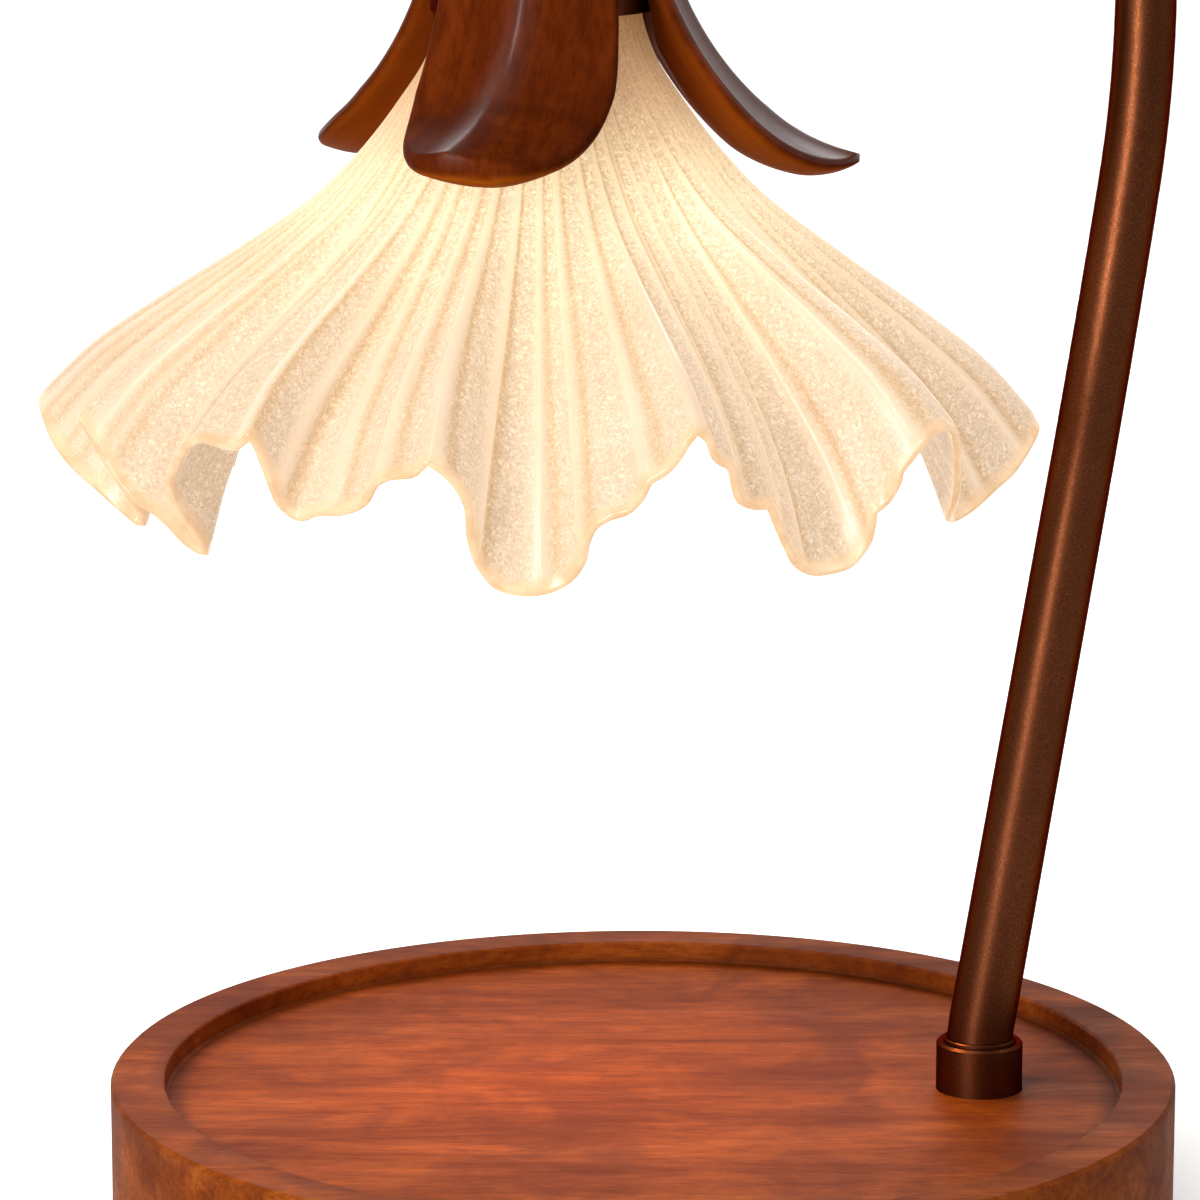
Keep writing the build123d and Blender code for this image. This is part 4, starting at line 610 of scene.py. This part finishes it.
def build_shade():
    """The glass: a ruffled, ribbed outer skin, a smoother inner one and a bead that joins them."""
    rim = resample(whole_rim(), COLUMNS) - [0, BEAD_REACH, -BEAD_REACH]
    even = np.linspace(rim[0, 0], rim[0, 0] + 360, COLUMNS, endpoint=False)
    neck_azimuth = even + blur_ring(rim[:, 0] - even, NECK_BLUR)
    rib_near, groove, relief = rib_fields(neck_azimuth)

    profile = np.array(NECK + BELL)
    run = np.concatenate([[0], np.cumsum(np.linalg.norm(np.diff(profile, axis=0), axis=1))])
    distance = np.linspace(0, run[-1], OUTER_ROWS)
    mean = cubic(profile, run, distance)
    share = np.clip((distance - run[len(NECK)]) / (run[-1] - run[len(NECK)]), 0, 1)

    # the folds grow from nothing at the bell's top to the whole rim
    fold = share[:, None] ** FOLD_GROWTH
    radius = mean[:, :1] + (rim[:, 1] - profile[-1, 0]) * fold
    height = mean[:, 1:] + (rim[:, 2] - profile[-1, 1]) * fold
    angle = np.radians(neck_azimuth + (rim[:, 0] - neck_azimuth) * share[:, None] ** DRIFT_GROWTH)
    rows = np.stack([SHADE_X + radius * np.cos(angle), radius * np.sin(angle), height], axis=-1)

    around = np.roll(rows, -1, axis=1) - np.roll(rows, 1, axis=1)
    outward = unit(np.cross(around, np.gradient(rows, axis=0)))
    middle = rows[OUTER_ROWS // 2, 0]
    if outward[OUTER_ROWS // 2, 0] @ (middle - [SHADE_X, 0, middle[2]]) < 0:
        outward = -outward

    # the ribs stand out from the outer skin and show a little on the inner one
    to_rim = run[-1] - distance
    fade = np.clip(to_rim / RIM_CLEARANCE, 0, 1) * np.clip(distance / NECK_CLEARANCE, 0, 1)
    amplitude = (RIB_LOW + RIB_SWELL * np.sin(share * math.pi * RIB_SWELL_SPAN)) * fade
    lift = amplitude[:, None] * relief[None, :]
    outer = rows + outward * (lift - RIB_SINK * amplitude[:, None])[:, :, None]
    picked = np.linspace(0, OUTER_ROWS - 1, INNER_ROWS).round().astype(int)
    inner = rows[picked] + outward[picked] * (RIB_INSIDE * lift[picked] - WALL)[:, :, None]

    # the rim's half round bead, a little thicker than the wall
    centre = (outer[-1] + inner[-1]) / 2
    side = (outer[-1] - inner[-1]) / 2
    down = unit(rows[-1] - rows[-2]) * np.linalg.norm(side, axis=1, keepdims=True)
    bead = [
        centre + side * math.cos(turn) * BEAD_SWELL + down * math.sin(turn)
        for turn in np.linspace(0.10, 0.90, BEAD_ROWS) * math.pi
    ]
    points = np.concatenate([outer, np.array(bead), inner[::-1]])
    ring_count = len(points)
    faces = ring_faces(ring_count, COLUMNS)
    # the flat end of the neck
    last = (ring_count - 1) * COLUMNS
    faces += [(last + i, i, (i + 1) % COLUMNS, last + (i + 1) % COLUMNS) for i in range(COLUMNS)]

    def field(on_outer, on_bead, on_inner):
        """One value for each point, from rows on the outer and inner skins and one on the bead."""
        return np.concatenate([on_outer, np.full((BEAD_ROWS, COLUMNS), on_bead), on_inner[::-1]]).ravel()

    rib_rows = rib_near[None, :] * np.minimum(1, 0.35 + fade)[:, None]
    groove_rows = groove[None, :] * np.minimum(1, 0.25 + fade)[:, None]
    rim_rows = np.repeat(np.clip(RIM_FADE_START - to_rim / RIM_FADE, 0, 1)[:, None], COLUMNS, axis=1)
    away = np.linalg.norm((points - GLOW_CENTRE) * [1, 1, GLOW_FLATNESS], axis=-1)
    glow = np.clip(GLOW_GAIN * np.exp(-((away / GLOW_REACH) ** 2)), 0, 1)
    glow *= np.clip((GLOW_TOP - points[:, :, 2]) / GLOW_TOP_FADE, GLOW_LEAST, 1)
    numbers = {
        "rib": field(rib_rows, 0.0, RIB_MARK_INSIDE * rib_rows[picked]),
        "groove": field(groove_rows, 0.0, RIB_MARK_INSIDE * groove_rows[picked]),
        "rim": field(rim_rows, 1.0, rim_rows[picked]),
        "inside": field(np.zeros_like(rib_rows), 0.2, np.ones_like(rib_rows[picked])),
        "glow": glow.ravel(),
    }
    new_piece(
        "glass_shade", points.reshape(-1, 3), faces, SHADE_GLASS, "shade", numbers=numbers
    )


# ---------------------------------------------------------------- sepals

SEPAL_TOP = 227.0
SEPAL_EDGE_THICK = 1.9
SEPAL_RIDGE = 3.1
SEPAL_BELLY = 3.2

# Each sepal hangs straight at inner_x down to arc_top, then bends through two arcs, given by their
# radius and the angle that they reach. ridge_end is how far the ridge has moved at the tip, in half
# widths. The tip's lengths and powers are for its left and right side, seen from outside. lean moves
# the top sideways, tip_thin is the share of the edge that the tip loses, and sheen is the least
# gloss of the outer face
SEPALS = {
    "sepal_front": {
        "azimuth": -98.0, "inner_x": 12.0, "arc_top": 213.0,
        "upper_arc": (40.0, 43.0), "lower_arc": (39.0, 90.0),
        "half_width": 14.7, "hub_half_width": 10.4, "ridge_end": -0.42,
        "tip_lengths": (22.0, 34.0), "tip_powers": (2.8, 2.1), "lean": 1.3,
        "tip_thin": 0.0, "sheen": 0.0,
    },
    "sepal_right": {
        "azimuth": 8.5, "inner_x": 13.5, "arc_top": 214.5,
        "upper_arc": (54.0, 45.5), "lower_arc": (28.0, 89.0),
        "half_width": 13.6, "hub_half_width": 8.0, "ridge_end": -0.10,
        "tip_lengths": (18.5, 18.5), "tip_powers": (1.25, 1.25), "lean": 0.0,
        "tip_thin": 0.80, "sheen": 0.55,
    },
    "sepal_left": {
        "azimuth": 126.0, "inner_x": 11.5, "arc_top": 212.0,
        "upper_arc": (43.5, 39.0), "lower_arc": (42.5, 90.0),
        "half_width": 14.4, "hub_half_width": 8.0, "ridge_end": -0.10,
        "tip_lengths": (21.2, 21.2), "tip_powers": (1.65, 1.65), "lean": 0.0,
        "tip_thin": 0.60, "sheen": 0.30,
    },
}
STATIONS = 160
ACROSS = 64
CORNER = 0.85
TIP_REACH = 9.0
TIP_THINNING = 1.5
LAST_STATION = 0.9996
STATION_CROWDING = 2.1
EDGE_CROWDING = 0.45
TAPER_START = 0.35
SLOPE_STEP = 0.05

# The outer face: a ridge between two hollow facets, in half widths, and what it adds in millimetres
RIDGE_LIMIT = 0.88
RIDGE_DRIFT = 3
LEFT_HOLLOW, RIGHT_HOLLOW = 0.36, 0.08
ROOF_SMOOTHING = 0.10
ROOF_FLOOR = -0.02
ROOF_AT_TIP = 0.3
CREST_OFFSET = 0.03
CREST_WIDTH = 0.13
CREST_HEIGHT = 0.35
POLISH_LOSS = 0.6
# How the painted glow on the undersides grows from their edges and towards the tips
UNDERSIDE_GLOW_EDGE = 2.5
UNDERSIDE_GLOW_GROWTH = 1.5
SEAT_DEPTH = 0.6
GRAIN_THROUGH = 0.0003

# Nearest that a sepal comes to the shade's axis at each height: the glass, the cup, the hub
SEAT_HEIGHTS = (150.0, 164.5, 177.5, 186.0, 188.0, 196.0, 200.6, 205.2, 207.0, 230.0)
SEAT_RADII = (40.0, 32.6, 22.6, 17.7, 17.2, 17.0, 16.0, 14.6, 12.3, 12.3)


def middle_line(shape, share):
    """Point and angle of a sepal's middle line, the distance left to its tip, and its length."""
    upper, first = shape["upper_arc"][0], math.radians(shape["upper_arc"][1])
    lower, last = shape["lower_arc"][0], math.radians(shape["lower_arc"][1])
    neck = SEPAL_TOP - shape["arc_top"]
    total = neck + upper * first + lower * (last - first)
    run = share * total
    x, z, angle = shape["inner_x"], SEPAL_TOP - min(run, neck), 0.0
    if run > neck:
        angle = min((run - neck) / upper, first)
        x += upper * (1 - math.cos(angle))
        z -= upper * math.sin(angle)
    if run > neck + upper * first:
        angle = first + (run - neck - upper * first) / lower
        x += lower * (math.cos(first) - math.cos(angle))
        z -= lower * (math.sin(angle) - math.sin(first))
    return x, z, angle, total - run, total


def rounding(border, radius):
    """How far a face drops within a rounded corner, at a distance from the border."""
    share = 1 - min(border, radius) / radius
    return radius * (1 - math.sqrt(max(0.0, 1 - share * share)))


def build_sepal(name, shape):
    """A carved slat: a ridged outer face and a bellied inner one, swept down its middle line."""
    wide, wide_hub = shape["half_width"], shape["hub_half_width"]

    def tip_share(left, side):
        """How much of its width a side still has near the tip."""
        power = shape["tip_powers"][side]
        return (1 - (1 - min(max(left, 0) / shape["tip_lengths"][side], 1)) ** power) ** (1 / power)

    def half_width(left, total, side):
        taper = min(1, max(0, left / total - TAPER_START) / (1 - TAPER_START))
        return (wide + (wide_hub - wide) * taper) * tip_share(left, side)

    points = []
    grain = []
    polish = []
    underside_glow = []
    for i in range(STATIONS):
        share = 1 - (1 - LAST_STATION * i / (STATIONS - 1)) ** STATION_CROWDING
        x, z, angle, left, total = middle_line(shape, share)
        widths = [half_width(left, total, side) for side in (0, 1)]
        slopes = []
        for side in (0, 1):
            wider = half_width(left + SLOPE_STEP, total, side)
            narrower = half_width(left - SLOPE_STEP, total, side)
            slopes.append((wider - narrower) / (2 * SLOPE_STEP))
        tip = (tip_share(left, 0) + tip_share(left, 1)) / 2
        ridge_y = shape["ridge_end"] * wide * share**RIDGE_DRIFT
        shift = max(-RIDGE_LIMIT, ridge_y / max(widths[0], 0.1))
        ridge_fade = min(1, RIDGE_LIMIT * widths[0] / max(-ridge_y, 0.1)) ** 2
        thin = 1 - shape["tip_thin"] * (1 - min(1, left / TIP_REACH)) ** TIP_THINNING
        lean = shape["lean"] * (1 - share)
        for outer in (True, False):
            for j in range(ACROSS + 1):
                even = -1 + 2 * j / ACROSS
                v = (1 - EDGE_CROWDING) * even + EDGE_CROWDING * math.sin(even * math.pi / 2)
                width, slope = (widths[0], slopes[0]) if v < 0 else (widths[1], slopes[1])
                y = v * width
                border = min(width * (1 - abs(v)) / math.hypot(1, slope * v), left)
                if outer:
                    off_ridge = (v - shift) / (1 + abs(shift))
                    hollow = LEFT_HOLLOW if off_ridge < 0 else RIGHT_HOLLOW
                    roof = 1 - math.hypot(off_ridge, ROOF_SMOOTHING)
                    roof -= hollow * math.sin(min(1.0, abs(off_ridge)) * math.pi)
                    crest = math.exp(-(((off_ridge - CREST_OFFSET) / CREST_WIDTH) ** 2)) * ridge_fade
                    steepness = ROOF_AT_TIP + (1 - ROOF_AT_TIP) * tip
                    height = SEPAL_EDGE_THICK / 2 + SEPAL_RIDGE * max(ROOF_FLOOR, roof) * steepness
                    height += CREST_HEIGHT * crest * tip - rounding(border, CORNER * thin)
                    polish.append(max(crest * (1 - POLISH_LOSS * share**6), shape["sheen"]))
                    underside_glow.append(0.0)
                else:
                    height = SEPAL_EDGE_THICK * (0.5 - thin) - SEPAL_BELLY * (1 - v * v) * tip
                    height += rounding(border, CORNER * thin)
                    polish.append(0.0)
                    # painted glow from the glass below, strongest towards the tip
                    underside_glow.append(min(1.0, UNDERSIDE_GLOW_EDGE * border / CORNER) * share**UNDERSIDE_GLOW_GROWTH)
                px = x + math.cos(angle) * height
                pz = z + math.sin(angle) * height
                least = float(np.interp(pz, SEAT_HEIGHTS, SEAT_RADII))
                if not outer and math.hypot(px, y) < least:
                    seat = math.sqrt(max(least**2 - y * y, 0.0))
                    px = min(seat, x + math.cos(angle) * (SEPAL_EDGE_THICK / 2 - SEAT_DEPTH))
                points.append((px, y + lean, pz))
                grain.append((MM * y, MM * share * total, GRAIN_THROUGH * height))
    ring = 2 * (ACROSS + 1)
    low = ACROSS + 1
    faces = []
    for i in range(STATIONS - 1):
        for j in range(ACROSS):
            a = i * ring + j
            b = a + low
            faces.append((a, a + ring, a + ring + 1, a + 1))
            faces.append((b, b + 1, b + ring + 1, b + ring))
        a = i * ring
        b = i * ring + ACROSS
        faces.append((a, a + low, a + low + ring, a + ring))
        faces.append((b, b + ring, b + low + ring, b + low))
    end = (STATIONS - 1) * ring
    for j in range(ACROSS):
        faces.append((j, j + 1, j + 1 + low, j + low))
        faces.append((end + j, end + j + low, end + j + 1 + low, end + j + 1))
    flat = np.array(points)
    turn = math.radians(shape["azimuth"])
    placed = np.column_stack(
        [
            SHADE_X + flat[:, 0] * math.cos(turn) - flat[:, 1] * math.sin(turn),
            flat[:, 0] * math.sin(turn) + flat[:, 1] * math.cos(turn),
            flat[:, 2],
        ]
    )
    numbers = {"polish": polish, "underside_glow": underside_glow}
    piece = new_piece(
        name + "_carved", placed, faces, SEPAL_WOOD, name, numbers, {"grain": grain}
    )
    sharpen(piece, 60)


# ---------------------------------------------------------------- stage and light

WORLD_FILL = 0.24
ROOM_LEVEL = 0.08
BACKDROP_GAIN = 1.2
FLOOR_REACH = 6
# The spot lamp under the lens: watts, colour, degrees, and millimetres
SPOT_POWER = 1.1
SPOT_COLOR = (1.0, 0.62, 0.30)
SPOT_ANGLE = 100
SPOT_BLEND = 0.8
SPOT_RADIUS = 18.0
SPOT_DROP = 1.5
LIGHTS = {
    # name: place, target, size, power, in metres and watts
    "key_light": ((-0.75, -0.85, 0.85), (0.0, 0.0, 0.10), (0.45, 0.45), 4.0),
    "front_light": ((-0.70, -1.10, 0.42), (0.03, 0.0, 0.15), (0.26, 0.9), 17.0),
    "top_light": ((-0.20, -0.50, 1.15), (-0.02, -0.02, 0.18), (0.15, 0.9), 4.0),
    "right_light": ((0.95, -0.25, 0.60), (0.03, 0.0, 0.14), (0.3, 0.7), 1.6),
    "back_light": ((0.10, 0.95, 0.85), (0.0, 0.0, 0.15), (0.9, 0.5), 5.0),
}


def white_to_the_eye(tree, place):
    """1 for the rays by which camera and glass see the background, and 0 for the light on things.

    Gloss sees the white backdrop behind the lamp and the dim room in front of it."""

    def two(operation, first, second):
        node = tree.nodes.new("ShaderNodeMath")
        node.operation = operation
        node.use_clamp = True
        for socket, value in zip(node.inputs, (first, second)):
            if isinstance(value, bpy.types.NodeSocket):
                tree.links.new(value, socket)
            else:
                socket.default_value = value
        return node.outputs[0]

    path = tree.nodes.new("ShaderNodeLightPath").outputs
    depth = tree.nodes.new("ShaderNodeSeparateXYZ")
    tree.links.new(place, depth.inputs[0])
    behind = two("MAXIMUM", two("MULTIPLY", depth.outputs["Y"], BACKDROP_GAIN), ROOM_LEVEL)
    gloss = two("MULTIPLY", path["Is Glossy Ray"], behind)
    return two("MAXIMUM", two("MAXIMUM", path["Is Camera Ray"], path["Is Transmission Ray"]), gloss)


def add_stage():
    """A pale floor that keeps the shadows near the base and is white further away."""
    g = Graph("stage_floor")
    place = g.place()
    distance = g.add("VectorMath", {"operation": "LENGTH"}, out=1, vector=place)
    mottled = g.noise(place, 30.0, 3, 0.5)
    near_dark = g.ramp(distance, (0.09, 0.35), (0.19, 1.0))
    g.shade(
        base_color=g.mix(mottled, (0.80, 0.80, 0.79), (0.84, 0.84, 0.83)),
        roughness=0.8,
        specular_ior_level=0.1,
        emission_color=(1.0, 1.0, 1.0, 1.0),
        emission_strength=g.times(white_to_the_eye(g.tree, place), near_dark),
    )
    mesh = bpy.data.meshes.new("stage_floor")
    far = FLOOR_REACH
    mesh.from_pydata([(-far, -far, 0), (far, -far, 0), (far, far, 0), (-far, far, 0)], [], [(0, 1, 2, 3)])
    mesh.materials.append(g.material)
    add_object("stage_floor", mesh)


def add_world():
    """White behind the lamp, and a weak even light on it."""
    world = bpy.data.worlds.new("studio")
    world.use_nodes = True
    SCENE.world = world
    tree = world.node_tree
    level = tree.nodes.new("ShaderNodeMath")
    level.operation = "MULTIPLY_ADD"
    direction = tree.nodes.new("ShaderNodeTexCoord").outputs["Generated"]
    tree.links.new(white_to_the_eye(tree, direction), level.inputs[0])
    level.inputs[1].default_value = 1 - WORLD_FILL
    level.inputs[2].default_value = WORLD_FILL
    background = tree.nodes["Background"]
    background.inputs["Color"].default_value = (1.0, 1.0, 1.0, 1.0)
    tree.links.new(level.outputs[0], background.inputs["Strength"])


def add_lights():
    """The studio's area lights, each turned to its target."""
    for name, (place, target, size, power) in LIGHTS.items():
        data = bpy.data.lights.new(name, "AREA")
        data.shape = "RECTANGLE"
        data.size, data.size_y = size
        data.energy = power
        light = add_object(name, data)
        light.location = place
        light.rotation_euler = (Vector(target) - Vector(place)).to_track_quat("-Z", "Y").to_euler()


def add_lamp_glow():
    """The lamp's warm light on the tray."""
    data = bpy.data.lights.new("lamp_glow", "SPOT")
    data.energy = SPOT_POWER
    data.color = SPOT_COLOR
    data.spot_size = math.radians(SPOT_ANGLE)
    data.spot_blend = SPOT_BLEND
    data.shadow_soft_size = SPOT_RADIUS * MM
    glow = add_object("lamp_glow", data)
    glow.location = (SHADE_X * MM, 0, (LAMP_FACE - SPOT_DROP) * MM)
    glow.parent = frame["bodies"]["arm"]


# ---------------------------------------------------------------- the scene

add_camera()
add_stage()
add_world()
add_lights()
add_lamp_glow()

for row in frame["record"]["subparts"]:
    solid = NODES[row["node"]]
    solid.data.materials.clear()
    solid.data.materials.append(FINISHES[row["material_slot"]])
    sharpen(solid, 35)
build_shade()
for sepal_name, sepal_shape in SEPALS.items():
    build_sepal(sepal_name, sepal_shape)
